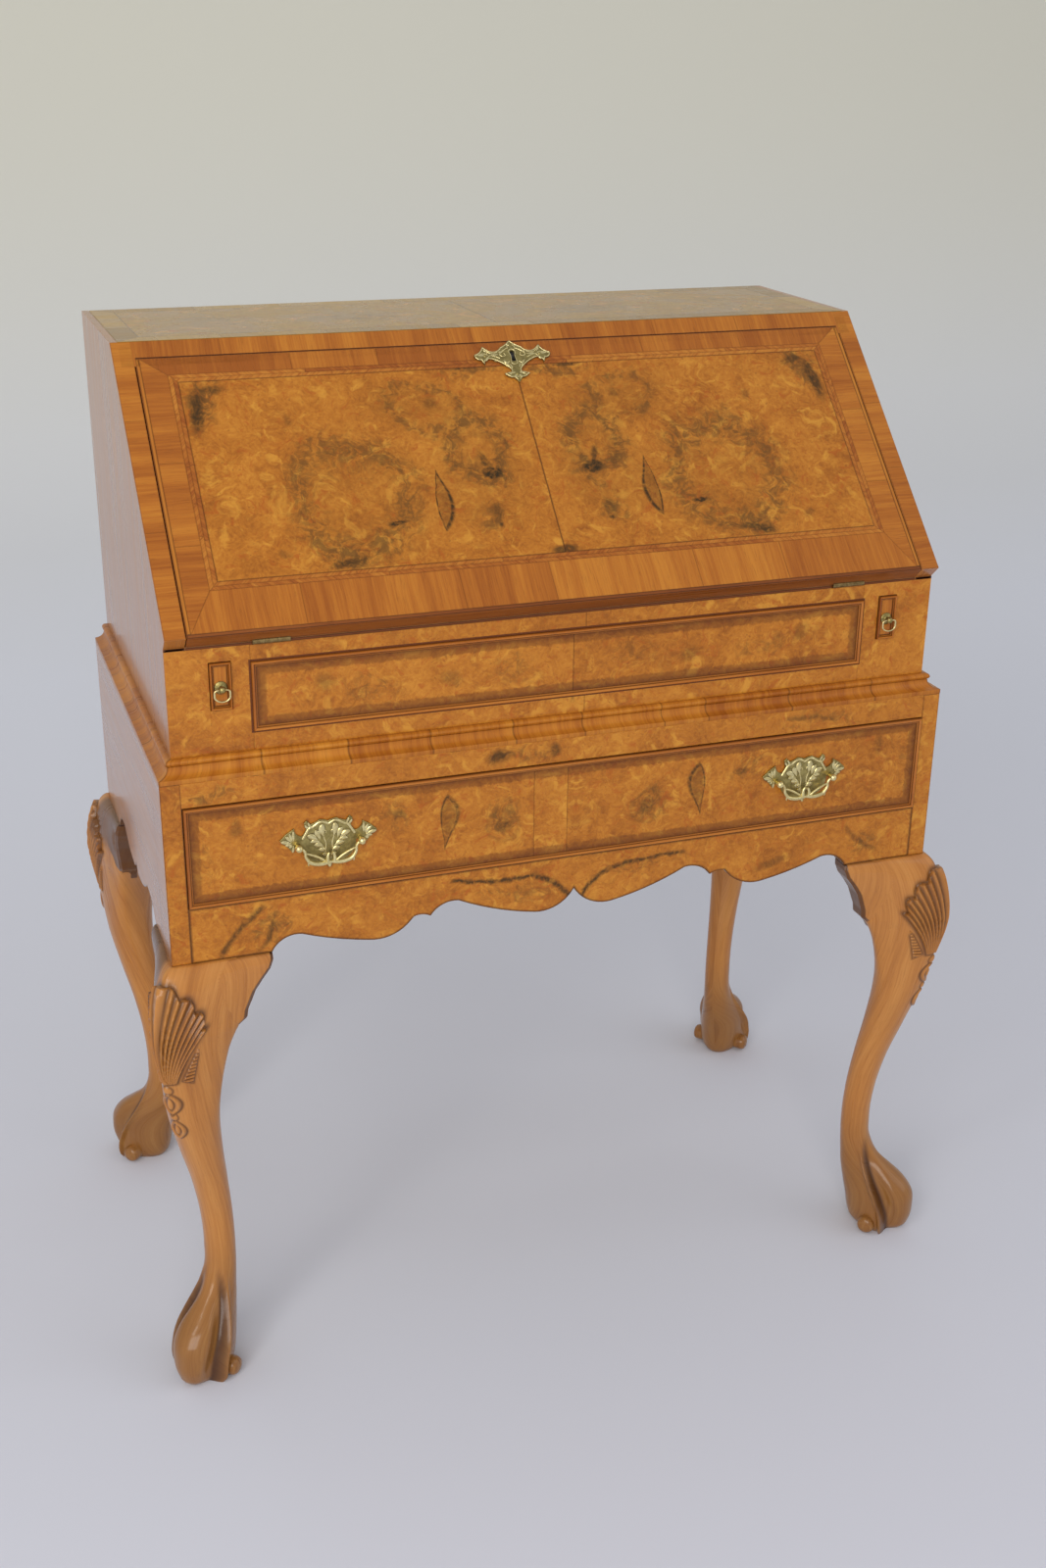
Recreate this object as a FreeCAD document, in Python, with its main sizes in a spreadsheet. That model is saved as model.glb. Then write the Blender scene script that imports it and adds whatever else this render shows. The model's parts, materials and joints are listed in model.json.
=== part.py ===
import FreeCAD, Part
import math
import os
import re

import Sketcher

# Slant-front writing bureau on a stand with four cabriole legs, in millimetres.
# The origin is on the floor under the middle of the stand. X runs to the right,
# Y to the back and Z up, so the front faces -Y.

SIZES = (
    # stand
    ("stand_width", 792),
    ("stand_depth", 430),
    ("leg_height", 469),
    ("leg_block", 60),
    ("frame_height", 180),
    ("post_width", 18.5),
    ("post_depth", 48),
    ("rail_thickness", 18),
    ("top_rail_height", 24),
    ("top_rail_depth", 45),
    ("drawer_opening_height", 100),
    ("apron_thickness", 20),
    ("tenon_thickness", 8),
    ("tenon_length", 11),
    ("tenon_shoulder", 8),
    ("runner_width", 36),
    ("runner_height", 18),
    ("bracket_reach", 94),
    ("bracket_drop", 72),
    ("bracket_thickness", 26),
    ("bracket_swell", 12),
    ("moulding_height", 19),
    # upper case
    ("case_side_inset", 14),
    ("case_front_inset", 15),
    ("case_front_height", 121),
    ("case_top_depth", 207),
    ("fall_rise", 230),
    ("side_thickness", 19),
    ("top_thickness", 20),
    ("top_lap", 7),
    ("bottom_thickness", 15),
    ("back_thickness", 9),
    ("bed_thickness", 16),
    ("bed_stop", 20),
    ("housing_depth", 6),
    ("panel_thickness", 18),
    ("bead_width", 5),
    ("bead_proud", 3),
    ("panel_bead_height", 66),
    ("panel_bead_drop", 18.3),
    ("panel_bead_gap", 17.5),
    # fall and its lock
    ("fall_thickness", 16),
    ("fall_gap", 0.8),
    ("top_band", 17),
    ("stop_width", 12),
    ("stop_thickness", 9),
    ("stop_length", 120),
    ("leather_thickness", 1.2),
    ("leather_margin", 52),
    ("leather_top_margin", 56),
    ("lock_width", 76),
    ("lock_height", 44),
    ("lock_depth", 12.5),
    ("bolt_width", 16),
    ("bolt_length", 12),
    ("bolt_thickness", 3.8),
    ("bolt_cover", 6.1),
    ("bolt_gap", 0.1),
    ("bolt_throw", 8),
    ("strike_width", 40),
    ("strike_thickness", 1.5),
    ("strike_margin", 1.2),
    ("escutcheon_width", 78),
    ("escutcheon_height", 49),
    ("escutcheon_thickness", 2.2),
    ("escutcheon_drop", 38),
    ("escutcheon_pin_radius", 0.9),
    ("escutcheon_pin_tip_gap", 0.6),
    ("keyhole_radius", 3.4),
    ("keyhole_length", 13),
    # hinges of the fall
    ("hinge_setout", 0.3),
    ("hinge_inset", 76),
    ("hinge_length", 34),
    ("leaf_depth", 24),
    ("leaf_thickness", 2),
    ("barrel_radius", 3),
    ("barrel_relief", 3.4),
    ("knuckle_gap", 0.2),
    ("pin_radius", 1.2),
    ("pin_gap", 0.05),
    ("screw_setback", 14.4),
    ("screw_length", 10),
    ("screw_radius", 1.3),
    ("screw_head_radius", 2.5),
    ("screw_head_height", 1.6),
    # lopers, the pulled-out rests of the fall
    ("loper_inset", 48.25),
    ("loper_width", 19.5),
    ("loper_height", 44.2),
    ("loper_length", 300),
    ("loper_travel", 220),
    ("loper_gap", 0.4),
    ("loper_bead_width", 3.5),
    ("loper_runner_thickness", 14),
    ("partition_thickness", 8),
    ("peg_radius", 4),
    ("peg_inset", 40),
    ("peg_reach", 5),
    ("peg_gap", 0.5),
    ("pull_drop", 23.5),
    ("pull_rose_radius", 6),
    ("pull_eye_radius", 3.2),
    ("pull_rim", 0.8),
    ("pull_dish", 2.2),
    ("pull_stem_radius", 2.1),
    ("pull_reach", 7),
    ("ring_width", 16),
    ("ring_drop", 15),
    ("ring_clearance", 0.35),
    ("ring_radius", 1),
    ("ring_gap", 0.08),
    # well under the writing bed
    ("well_width", 300),
    ("well_front_margin", 80),
    ("well_length", 140),
    ("well_ledge", 10),
    ("cover_thickness", 7),
    ("cover_gap", 0.3),
    ("cover_travel", 125),
    ("finger_radius", 11),
    ("finger_depth", 3),
    # pigeonholes and small drawers
    ("unit_setback", 14),
    ("unit_floor_thickness", 6),
    ("unit_shelf_thickness", 7),
    ("small_opening_height", 50),
    ("divider_thickness", 6),
    ("divider_setback", 8),
    ("centre_width", 240),
    ("valance_height", 30),
    ("valance_thickness", 6),
    ("valance_arch", 18),
    ("small_front_thickness", 10),
    ("small_side_thickness", 6),
    ("small_bottom_thickness", 4),
    ("small_drawer_depth", 165),
    ("small_gap", 0.5),
    ("knob_radius", 6),
    ("knob_length", 13),
    # long drawer
    ("drawer_gap", 0.6),
    ("drawer_front_thickness", 20),
    ("drawer_lap", 8),
    ("drawer_side_thickness", 11),
    ("drawer_side_drop", 6),
    ("drawer_back_gap", 63),
    ("drawer_bottom_thickness", 6),
    ("drawer_bottom_lift", 8),
    ("drawer_groove", 4),
    # handles of the long drawer
    ("handle_inset", 151),
    ("handle_lift", 50),
    ("plate_width", 92),
    ("plate_height", 49),
    ("plate_thickness", 2),
    ("post_spacing", 59.6),
    ("post_ball_radius", 3.7),
    ("post_reach", 9),
    ("post_stem_radius", 2.3),
    ("post_shank_radius", 2),
    ("shank_gap", 0.2),
    ("nut_radius", 5),
    ("nut_thickness", 3),
    ("bail_radius", 1.7),
    ("bail_pin_radius", 1.4),
    ("bail_gap", 0.08),
    ("bail_drop", 17.5),
    ("bail_bend", 2.2),
    ("bail_block_radius", 2.9),
)

# Places worked out from the sizes, each from the ones above it.
PLACES = (
    ("stand_half", "stand_width / 2"),
    ("stand_back", "stand_depth / 2"),
    ("stand_front", "-stand_depth / 2"),
    ("post_inner", "stand_half - post_width"),
    ("rail_inner", "stand_half - rail_thickness"),
    ("post_end", "stand_back - post_depth"),
    ("frame_top", "leg_height + frame_height"),
    ("drawer_ceiling", "frame_top - top_rail_height"),
    ("drawer_floor", "drawer_ceiling - drawer_opening_height"),
    ("top_rail_back", "stand_front + top_rail_depth"),
    ("back_rail_front", "stand_back - rail_thickness"),
    ("apron_back", "stand_front + apron_thickness"),
    ("bed_height", "frame_top + case_front_height"),
    ("overall_height", "bed_height + fall_rise"),
    ("case_half", "stand_half - case_side_inset"),
    ("case_inner", "case_half - side_thickness"),
    ("case_housed", "case_inner + housing_depth"),
    ("case_front", "stand_front + case_front_inset"),
    ("case_rear", "stand_back - back_thickness"),
    ("panel_back", "case_front + panel_thickness"),
    ("bottom_top", "frame_top + bottom_thickness"),
    ("top_under", "overall_height - top_thickness"),
    ("top_end", "case_half - top_lap"),
    ("bed_under", "bed_height - bed_thickness"),
    ("ridge_y", "stand_back - case_top_depth"),
    ("hinge_y", "case_front - hinge_setout"),
    ("slope_run", "ridge_y - hinge_y"),
    ("slope_reach", "sqrt(fall_rise ^ 2 + slope_run ^ 2)"),
    ("slope_length", "sqrt(slope_reach ^ 2 - fall_thickness ^ 2)"),
    ("slope", "(atan2(fall_rise; slope_run) - asin(fall_thickness / slope_reach)) / 1deg"),
    ("slope_sin", "sin(slope * 1deg)"),
    ("slope_cos", "cos(slope * 1deg)"),
    ("bevel_y", "ridge_y - top_thickness * slope_cos / slope_sin"),
    ("nose_y", "hinge_y - fall_thickness * slope_sin"),
    ("nose_z", "bed_height + fall_thickness * slope_cos"),
    ("fall_half", "case_inner - fall_gap"),
    ("fall_end", "slope_length - top_band"),
    ("fall_length", "fall_end - fall_gap"),
    ("escutcheon_pin_length", "fall_thickness - lock_depth + escutcheon_thickness - escutcheon_pin_tip_gap"),
    ("bolt_half", "bolt_width / 2"),
    ("bolt_top", "bolt_cover + bolt_thickness"),
    ("strike_half", "strike_width / 2"),
    ("hinge_out", "case_inner - hinge_inset + hinge_length / 2"),
    ("hinge_in", "hinge_out - hinge_length"),
    ("knuckle", "hinge_length / 3"),
    ("loper_x", "case_half - loper_inset"),
    ("loper_left_x", "loper_x - loper_width / 2"),
    ("loper_right_x", "loper_x + loper_width / 2"),
    ("loper_top", "bed_under - loper_gap"),
    ("loper_under", "loper_top - loper_height"),
    ("loper_mid_z", "loper_under + loper_height / 2"),
    ("partition_out", "loper_left_x - loper_gap"),
    ("partition_in", "partition_out - partition_thickness"),
    ("peg_y", "case_front + loper_length - peg_inset"),
    ("pull_z", "loper_top - pull_drop"),
    ("panel_bead_half", "loper_left_x - panel_bead_gap"),
    ("panel_bead_top", "bed_height - panel_bead_drop"),
    ("unit_front", "ridge_y + unit_setback"),
    ("unit_floor_top", "bed_height + unit_floor_thickness"),
    ("unit_shelf_under", "unit_floor_top + small_opening_height"),
    ("unit_shelf_top", "unit_shelf_under + unit_shelf_thickness"),
    ("divider_front", "unit_front + divider_setback"),
    ("centre_half", "centre_width / 2"),
    ("well_half", "well_width / 2"),
    ("well_front", "case_front + well_front_margin"),
    ("well_back", "well_front + well_length"),
    ("cover_under", "bed_height - cover_thickness"),
    ("small_in", "centre_half + divider_thickness / 2 + small_gap"),
    ("small_out", "case_inner - small_gap"),
    ("small_low", "unit_floor_top + small_gap / 2"),
    ("small_high", "unit_shelf_under - small_gap"),
    ("small_back", "unit_front + small_drawer_depth"),
    ("drawer_half", "post_inner - drawer_gap"),
    ("drawer_low", "drawer_floor + drawer_gap / 2"),
    ("drawer_high", "drawer_ceiling - drawer_gap"),
    ("drawer_rear", "back_rail_front - drawer_back_gap"),
    ("drawer_face_back", "stand_front + drawer_front_thickness"),
    ("drawer_side_front", "stand_front + drawer_lap"),
    ("drawer_bottom_low", "drawer_low + drawer_bottom_lift"),
    ("handle_x", "stand_half - handle_inset"),
    ("handle_z", "drawer_floor + handle_lift"),
)

PIGEONHOLES = 6
HINGE_SCREWS = 3
# how far a cutter runs past the face that it opens
OVERSHOOT = 1
X_AXIS = FreeCAD.Vector(1, 0, 0)
Y_AXIS = FreeCAD.Vector(0, 1, 0)
Z_AXIS = FreeCAD.Vector(0, 0, 1)
ORIGIN = FreeCAD.Vector(0, 0, 0)

doc = FreeCAD.newDocument("writing_bureau")
sheet = doc.addObject("Spreadsheet::Sheet", "Sizes")
for row, (alias, number) in enumerate(SIZES, start=1):
    sheet.set(f"A{row}", alias.replace("_", " "))
    sheet.set(f"B{row}", str(number))
    sheet.setAlias(f"B{row}", alias)
places = doc.addObject("App::VarSet", "Places")
owner = {alias: "Sizes." for alias, number in SIZES}
nodes = []


def bound(formula):
    return re.sub(r"\b[a-z][a-z_]*\b", lambda word: owner.get(word.group(), "") + word.group(), formula)


def bind(piece, prop, formula):
    piece.setExpression(prop, bound(formula))


for place, formula in PLACES:
    places.addProperty("App::PropertyFloat", place)
    bind(places, place, formula)
    owner[place] = "Places."
doc.recompute()


def mm(name):
    if owner[name] == "Places.":
        return getattr(places, name)
    return float(sheet.get(name))


def node(piece):
    nodes.append(piece)
    return piece


# Building blocks whose sides are formulas of the sizes and places

def board(label, x, y, z):
    piece = doc.addObject("Part::Box", label)
    for side, axis, (low, high) in (("Length", "x", x), ("Width", "y", y), ("Height", "z", z)):
        bind(piece, side, f"({high}) - ({low})")
        bind(piece, f"Placement.Base.{axis}", low)
    return piece


def on_fall(piece, x, along, out):
    # Seats a piece in the fall's own frame: along runs up the slope from the hinge, out is square to it.
    piece.Placement.Rotation = FreeCAD.Rotation(X_AXIS, mm("slope"))
    bind(piece, "Placement.Rotation.Angle", "slope")
    bind(piece, "Placement.Base.x", x)
    bind(piece, "Placement.Base.y", f"hinge_y + ({along}) * slope_cos - ({out}) * slope_sin")
    bind(piece, "Placement.Base.z", f"bed_height + ({along}) * slope_sin + ({out}) * slope_cos")
    return piece


def fall_box(label, x, along, out):
    piece = doc.addObject("Part::Box", label)
    for side, (low, high) in (("Length", x), ("Width", along), ("Height", out)):
        bind(piece, side, f"({high}) - ({low})")
    return on_fall(piece, x[0], along[0], out[0])


def rod(label, axis, radius, x, y, z):
    # A cylinder along axis: the pair among x, y and z gives its two ends.
    piece = doc.addObject("Part::Cylinder", label)
    turns = {
        "x": FreeCAD.Rotation(Y_AXIS, 90),
        "y": FreeCAD.Rotation(X_AXIS, -90),
        "z": FreeCAD.Rotation(),
    }
    piece.Placement.Rotation = turns[axis]
    bind(piece, "Radius", radius)
    for name, place in (("x", x), ("y", y), ("z", z)):
        if name == axis:
            bind(piece, "Height", f"({place[1]}) - ({place[0]})")
            place = place[0]
        bind(piece, f"Placement.Base.{name}", place)
    return piece


def profile(label, points, low, high):
    # A board with an outline of (y, z) formulas, padded along X.
    body = doc.addObject("PartDesign::Body", label)
    sketch = body.newObject("Sketcher::SketchObject", label + "_outline")
    plane = [item for item in body.Origin.OriginFeatures if item.Role == "YZ_Plane"][0]
    sketch.AttachmentSupport = (plane, [""])
    sketch.MapMode = "FlatFace"
    corners = [FreeCAD.Vector(mm(y), mm(z), 0) for y, z in points]
    count = len(corners)
    for index in range(count):
        sketch.addGeometry(Part.LineSegment(corners[index], corners[(index + 1) % count]), False)
    for index in range(count):
        sketch.addConstraint(Sketcher.Constraint("Coincident", index, 2, (index + 1) % count, 1))
    for index, formulas in enumerate(points):
        for kind, formula, value in zip(("DistanceX", "DistanceY"), formulas, corners[index]):
            number = sketch.addConstraint(Sketcher.Constraint(kind, -1, 1, index, 1, value))
            bind(sketch, f"Constraints[{number}]", formula)
    pad = body.newObject("PartDesign::Pad", label + "_pad")
    pad.Profile = sketch
    bind(pad, "Length", f"({high}) - ({low})")
    bind(body, "Placement.Base.x", low)
    return body


def fuse(label, pieces):
    piece = doc.addObject("Part::MultiFuse", label)
    piece.Shapes = pieces
    return piece


def cut(label, base, tools):
    piece = doc.addObject("Part::Cut", label)
    piece.Base = base
    piece.Tool = tools[0] if len(tools) == 1 else fuse(label + "_cutters", tools)
    return piece


def mirror(label, source):
    piece = doc.addObject("Part::Mirroring", label)
    piece.Source = source
    piece.Base = ORIGIN
    piece.Normal = X_AXIS
    return piece


def group(label, pieces):
    piece = doc.addObject("Part::Compound", label)
    piece.Links = pieces
    return piece


def pair(label, right):
    return group(label, [right, mirror(label + "_mirrored", right)])


def shaped(label, shape):
    piece = doc.addObject("Part::Feature", label)
    piece.Shape = shape
    piece.Placement = FreeCAD.Placement()
    return piece


# Curves and solids for the pieces that a board can't give

def vec(x, y, z):
    return FreeCAD.Vector(x, y, z)


def steps_to_edges(start, steps):
    # Each step is (x, y) for a line or (mid x, mid y, x, y) for an arc, in the XY plane.
    edges = []
    here = vec(start[0], start[1], 0)
    for step in steps:
        there = vec(step[-2], step[-1], 0)
        if len(step) == 2:
            edges.append(Part.makeLine(here, there))
        else:
            edges.append(Part.Arc(here, vec(step[0], step[1], 0), there).toShape())
        here = there
    return edges


def closed_face(edges):
    return Part.Face(Part.Wire(Part.__sortEdges__(edges)))


def mirrored_face(start, steps):
    # A face that is the same on both sides of x = 0, from its right half.
    half = steps_to_edges(start, steps)
    return closed_face(half + [edge.mirror(ORIGIN, X_AXIS) for edge in half])


def turned(points):
    # A solid turned about Y from (radius, y) points, the first and last on the axis.
    corners = [vec(radius, y, 0) for radius, y in points]
    face = Part.Face(Part.makePolygon(corners + [corners[0]]))
    return face.revolve(ORIGIN, Y_AXIS, 360)


def smooth_loop(points):
    curve = Part.BSplineCurve()
    curve.interpolate(points, PeriodicFlag=True)
    return Part.Wire([curve.toShape()])


def smooth_edge(points):
    curve = Part.BSplineCurve()
    curve.interpolate(points)
    return curve.toShape()


def tube(edges, radius, start, direction):
    path = Part.Wire(edges)
    section = Part.Wire([Part.makeCircle(radius, start, direction)])
    return path.makePipeShell([section], True, False)


def bead_frame(label, half, low, high, front, width, proud, centre=0):
    # Four half-round strips, mitred at the corners, standing on the plane y = front.
    shoulder = max(proud - width / 2, 0)
    near = vec(0, -shoulder, 0)
    far = vec(0, -shoulder, width)
    crown = vec(0, -proud, width / 2)
    edges = [Part.Arc(near, crown, far).toShape(), Part.makeLine(vec(0, 0, width), ORIGIN)]
    if shoulder > 0:
        edges += [Part.makeLine(ORIGIN, near), Part.makeLine(far, vec(0, 0, width))]
    section = closed_face(edges)
    reach = width + OVERSHOOT
    under = -proud - OVERSHOOT
    corners = [(centre - half, low), (centre + half, low), (centre + half, high), (centre - half, high)]
    strips = []
    for index, start in enumerate(corners):
        end = corners[(index + 1) % len(corners)]
        length = math.dist(start, end)
        strip = section.extrude(vec(length, 0, 0))
        for corner, side in ((0, -1), (length, 1)):
            wedge = Part.makePolygon([
                vec(corner, under, 0),
                vec(corner - side * reach, under, reach),
                vec(corner + side * reach, under, reach),
                vec(corner + side * reach, under, -OVERSHOOT),
                vec(corner, under, -OVERSHOOT),
                vec(corner, under, 0),
            ])
            strip = strip.cut(Part.Face(wedge).extrude(vec(0, proud + 2 * OVERSHOOT, 0)))
        turn = math.degrees(math.atan2(end[1] - start[1], end[0] - start[0]))
        strip.rotate(ORIGIN, Y_AXIS, -turn)
        strip.translate(vec(start[0], front, start[1]))
        strips.append(strip)
    return shaped(label, Part.makeCompound(strips))


# Upper case: two sides, top, bottom, back, writing bed and front panel

def make_case():
    blank = profile(
        "case_side_blank",
        [
            ("stand_back", "frame_top"),
            ("stand_back", "overall_height"),
            ("ridge_y", "overall_height"),
            ("nose_y", "nose_z"),
            ("case_front", "bed_height"),
            ("case_front", "frame_top"),
        ],
        "case_inner",
        "case_half",
    )
    inner = f"case_inner - {OVERSHOOT}"
    top_rebate = board(
        "top_rebate",
        (inner, "top_end"),
        (f"nose_y - {OVERSHOOT}", f"stand_back + {OVERSHOOT}"),
        ("top_under", f"overall_height + {OVERSHOOT}"),
    )
    bed_housing = board(
        "bed_housing",
        (inner, "case_housed"),
        ("case_front + bed_stop", "case_rear"),
        ("bed_under", "bed_height"),
    )
    bottom_housing = board(
        "bottom_housing",
        (inner, "case_housed"),
        ("panel_back", "case_rear"),
        (f"frame_top - {OVERSHOOT}", "bottom_top"),
    )
    back_rebate = board(
        "back_rebate",
        (inner, "case_housed"),
        ("case_rear", f"stand_back + {OVERSHOOT}"),
        (f"frame_top - {OVERSHOOT}", "top_under"),
    )
    right = node(cut("case_side_right", blank, [top_rebate, bed_housing, bottom_housing, back_rebate]))
    node(mirror("case_side_left", right))

    housed = ("-case_housed", "case_housed")
    node(board("case_bottom", housed, ("panel_back", "case_rear"), ("frame_top", "bottom_top")))
    node(board("case_back", housed, ("case_rear", "stand_back"), ("frame_top", "top_under")))
    make_case_top()
    make_writing_bed()

    panel = board(
        "front_panel_blank",
        ("-case_inner", "case_inner"),
        ("case_front", "panel_back"),
        ("frame_top", "bed_under"),
    )
    gate = board(
        "loper_gate",
        ("loper_left_x - loper_gap", "loper_right_x + loper_gap"),
        (f"case_front - {OVERSHOOT}", f"panel_back + {OVERSHOOT}"),
        ("loper_under - loper_gap", f"bed_under + {OVERSHOOT}"),
    )
    node(cut("front_panel", panel, [gate, mirror("loper_gate_left", gate)]))
    bead_low = mm("panel_bead_top") - mm("panel_bead_height")
    node(
        bead_frame(
            "front_panel_bead",
            mm("panel_bead_half"),
            bead_low,
            mm("panel_bead_top"),
            mm("case_front"),
            mm("bead_width"),
            mm("bead_proud"),
        )
    )
    make_fall_stops()


def bolt_mortise(label):
    return fall_box(
        label,
        ("-bolt_half - bolt_gap", "bolt_half + bolt_gap"),
        (f"fall_end - {OVERSHOOT}", f"fall_end + bolt_throw + {OVERSHOOT}"),
        ("bolt_cover - bolt_gap", "bolt_top + bolt_gap"),
    )


def make_case_top():
    blank = profile(
        "case_top_blank",
        [
            ("ridge_y", "overall_height"),
            ("stand_back", "overall_height"),
            ("stand_back", "top_under"),
            ("bevel_y", "top_under"),
        ],
        "-top_end",
        "top_end",
    )
    recess = fall_box(
        "fall_recess",
        ("-case_inner", "case_inner"),
        ("fall_end - 2 * top_thickness", "fall_end"),
        ("-top_thickness", f"fall_thickness + {OVERSHOOT}"),
    )
    strike_at = ("fall_end", "fall_end + strike_thickness")
    strike_out = ("bolt_cover - strike_margin", "bolt_top + strike_margin")
    strike_x = ("-strike_half", "strike_half")
    plate = fall_box("strike_blank", strike_x, strike_at, strike_out)
    plate_recess = fall_box("strike_recess", strike_x, strike_at, strike_out)
    node(cut("case_top", blank, [recess, plate_recess, bolt_mortise("bolt_mortise")]))
    node(cut("lock_strike_plate", plate, [bolt_mortise("strike_slot")]))


def make_writing_bed():
    main = board(
        "bed_board", ("-case_inner", "case_inner"), ("case_front", "case_rear"), ("bed_under", "bed_height")
    )
    tongue = board(
        "bed_tongues",
        ("-case_housed", "case_housed"),
        ("case_front + bed_stop", "case_rear"),
        ("bed_under", "bed_height"),
    )
    track = board(
        "cover_track",
        ("-well_half", "well_half"),
        ("well_front", "well_back + cover_travel + 2 * cover_gap"),
        ("cover_under", f"bed_height + {OVERSHOOT}"),
    )
    mouth = board(
        "well_mouth",
        ("-well_half + well_ledge", "well_half - well_ledge"),
        ("well_front + well_ledge", "well_back - well_ledge"),
        (f"bed_under - {OVERSHOOT}", "cover_under"),
    )
    leaf = hinge_bed_leaf_recess()
    barrel = hinge_barrel_recess("bed_barrel_recess")
    screws = bed_screws("bed_screw_hole")
    tools = [
        track,
        mouth,
        leaf,
        mirror("bed_leaf_recess_left", leaf),
        barrel,
        mirror("bed_barrel_left", barrel),
    ]
    for screw in screws:
        tools += [screw, mirror(screw.Label + "_left", screw)]
    node(cut("writing_bed", fuse("bed_blank", [main, tongue]), tools))


def make_fall_stops():
    # Two battens on the case sides that the closed fall lies on.
    stop = fall_box(
        "fall_stop",
        ("case_inner - stop_width", "case_inner"),
        ("fall_length - stop_length", "fall_length - top_thickness"),
        ("-stop_thickness", "0"),
    )
    node(pair("fall_stops", stop))


# Hinges of the fall: a leaf in the bed, a leaf in the fall and a pin

def hinge_bed_leaf_recess():
    return board(
        "bed_leaf_recess",
        ("hinge_in", "hinge_out"),
        (f"hinge_y - {OVERSHOOT}", "hinge_y + leaf_depth"),
        ("bed_height - leaf_thickness", f"bed_height + {OVERSHOOT}"),
    )


def hinge_barrel_recess(label):
    return rod(label, "x", "barrel_relief", ("hinge_in", "hinge_out"), "hinge_y", "bed_height")


def screw_x(index):
    return f"hinge_in + hinge_length * {2 * index + 1} / {2 * HINGE_SCREWS}"


def bed_screws(label):
    screws = []
    for index in range(HINGE_SCREWS):
        head = doc.addObject("Part::Cone", f"{label}_head_{index + 1}")
        bind(head, "Radius1", "screw_radius")
        bind(head, "Radius2", "screw_head_radius")
        bind(head, "Height", "screw_head_height")
        bind(head, "Placement.Base.x", screw_x(index))
        bind(head, "Placement.Base.y", "hinge_y + screw_setback")
        bind(head, "Placement.Base.z", "bed_height - screw_head_height")
        shank = rod(
            f"{label}_shank_{index + 1}",
            "z",
            "screw_radius",
            screw_x(index),
            "hinge_y + screw_setback",
            ("bed_height - screw_length", "bed_height - screw_head_height"),
        )
        screws.append(fuse(f"{label}_{index + 1}", [head, shank]))
    return screws


def fall_screws(label):
    screws = []
    for index in range(HINGE_SCREWS):
        head = doc.addObject("Part::Cone", f"{label}_head_{index + 1}")
        bind(head, "Radius1", "screw_head_radius")
        bind(head, "Radius2", "screw_radius")
        bind(head, "Height", "screw_head_height")
        on_fall(head, screw_x(index), "screw_setback", "0")
        shank = doc.addObject("Part::Cylinder", f"{label}_shank_{index + 1}")
        bind(shank, "Radius", "screw_radius")
        bind(shank, "Height", "screw_length - screw_head_height")
        on_fall(shank, screw_x(index), "screw_setback", "screw_head_height")
        screws.append(fuse(f"{label}_{index + 1}", [head, shank]))
    return screws


def pin_bore(label):
    ends = (f"hinge_in - {OVERSHOOT}", f"hinge_out + {OVERSHOOT}")
    return rod(label, "x", "pin_radius + pin_gap", ends, "hinge_y", "bed_height")


def make_hinges():
    leaf_z = ("bed_height - leaf_thickness", "bed_height")
    middle = ("hinge_in + knuckle + knuckle_gap", "hinge_out - knuckle - knuckle_gap")
    plate = board(
        "bed_leaf_plate",
        ("hinge_in", "hinge_out"),
        ("hinge_y + barrel_relief", "hinge_y + leaf_depth"),
        leaf_z,
    )
    neck = board("bed_leaf_neck", middle, ("hinge_y", "hinge_y + barrel_relief"), leaf_z)
    barrel = rod("bed_leaf_barrel", "x", "barrel_radius", middle, "hinge_y", "bed_height")
    screws = bed_screws("bed_screw")
    leaf = cut(
        "bed_leaf",
        fuse("bed_leaf_blank", [plate, neck, barrel]),
        [pin_bore("bed_leaf_bore")] + screws,
    )
    node(pair("bed_hinge_leaves", leaf))
    node(pair("bed_hinge_screws", group("bed_screws_right", screws)))
    pin = rod("hinge_pin", "x", "pin_radius", ("hinge_in", "hinge_out"), "hinge_y", "bed_height")
    node(pair("hinge_pins", pin))

    parts = [
        fall_box(
            "fall_leaf_plate",
            ("hinge_in", "hinge_out"),
            ("barrel_relief", "leaf_depth"),
            ("0", "leaf_thickness"),
        )
    ]
    ends = (("hinge_in", "hinge_in + knuckle"), ("hinge_out - knuckle", "hinge_out"))
    for side, span in zip(("inner", "outer"), ends):
        neck = fall_box(f"fall_leaf_neck_{side}", span, ("0", "barrel_relief"), ("0", "leaf_thickness"))
        parts.append(neck)
        parts.append(rod(f"fall_leaf_barrel_{side}", "x", "barrel_radius", span, "hinge_y", "bed_height"))
    screws = fall_screws("fall_screw")
    leaf = cut("fall_leaf", fuse("fall_leaf_blank", parts), [pin_bore("fall_leaf_bore")] + screws)
    node(pair("fall_hinge_leaves", leaf))
    node(pair("fall_hinge_screws", group("fall_screws_right", screws)))


# Fall: board, leather, lock with its bolt, escutcheon

# the keyhole's slot and its lower round, as shares of its upper radius
KEYHOLE_SLOT = 0.62
KEYHOLE_FOOT = 0.8
# places of the escutcheon's pins, as shares of its half width and of its height
PIN_PLACES = ((-0.72, 0.04), (0.72, 0.04), (0, -0.42))
# the right half of the escutcheon's edge from the top middle down, in the same shares
ESCUTCHEON_EDGE = (
    (0, 0.39),
    (0.10, 0.31, 0.28, 0.225),
    (0.44, 0.135, 0.62, 0.165),
    (0.75, 0.26),
    (0.83, 0.15, 1.0, 0.075),
    (0.97, -0.02, 0.84, -0.06),
    (0.78, -0.175),
    (0.68, -0.05, 0.56, -0.055),
    (0.30, -0.175, 0.17, -0.27),
    (0.14, -0.36, 0.32, -0.385),
    (0.24, -0.47, 0.11, -0.50),
    (0, -0.61),
)


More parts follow.
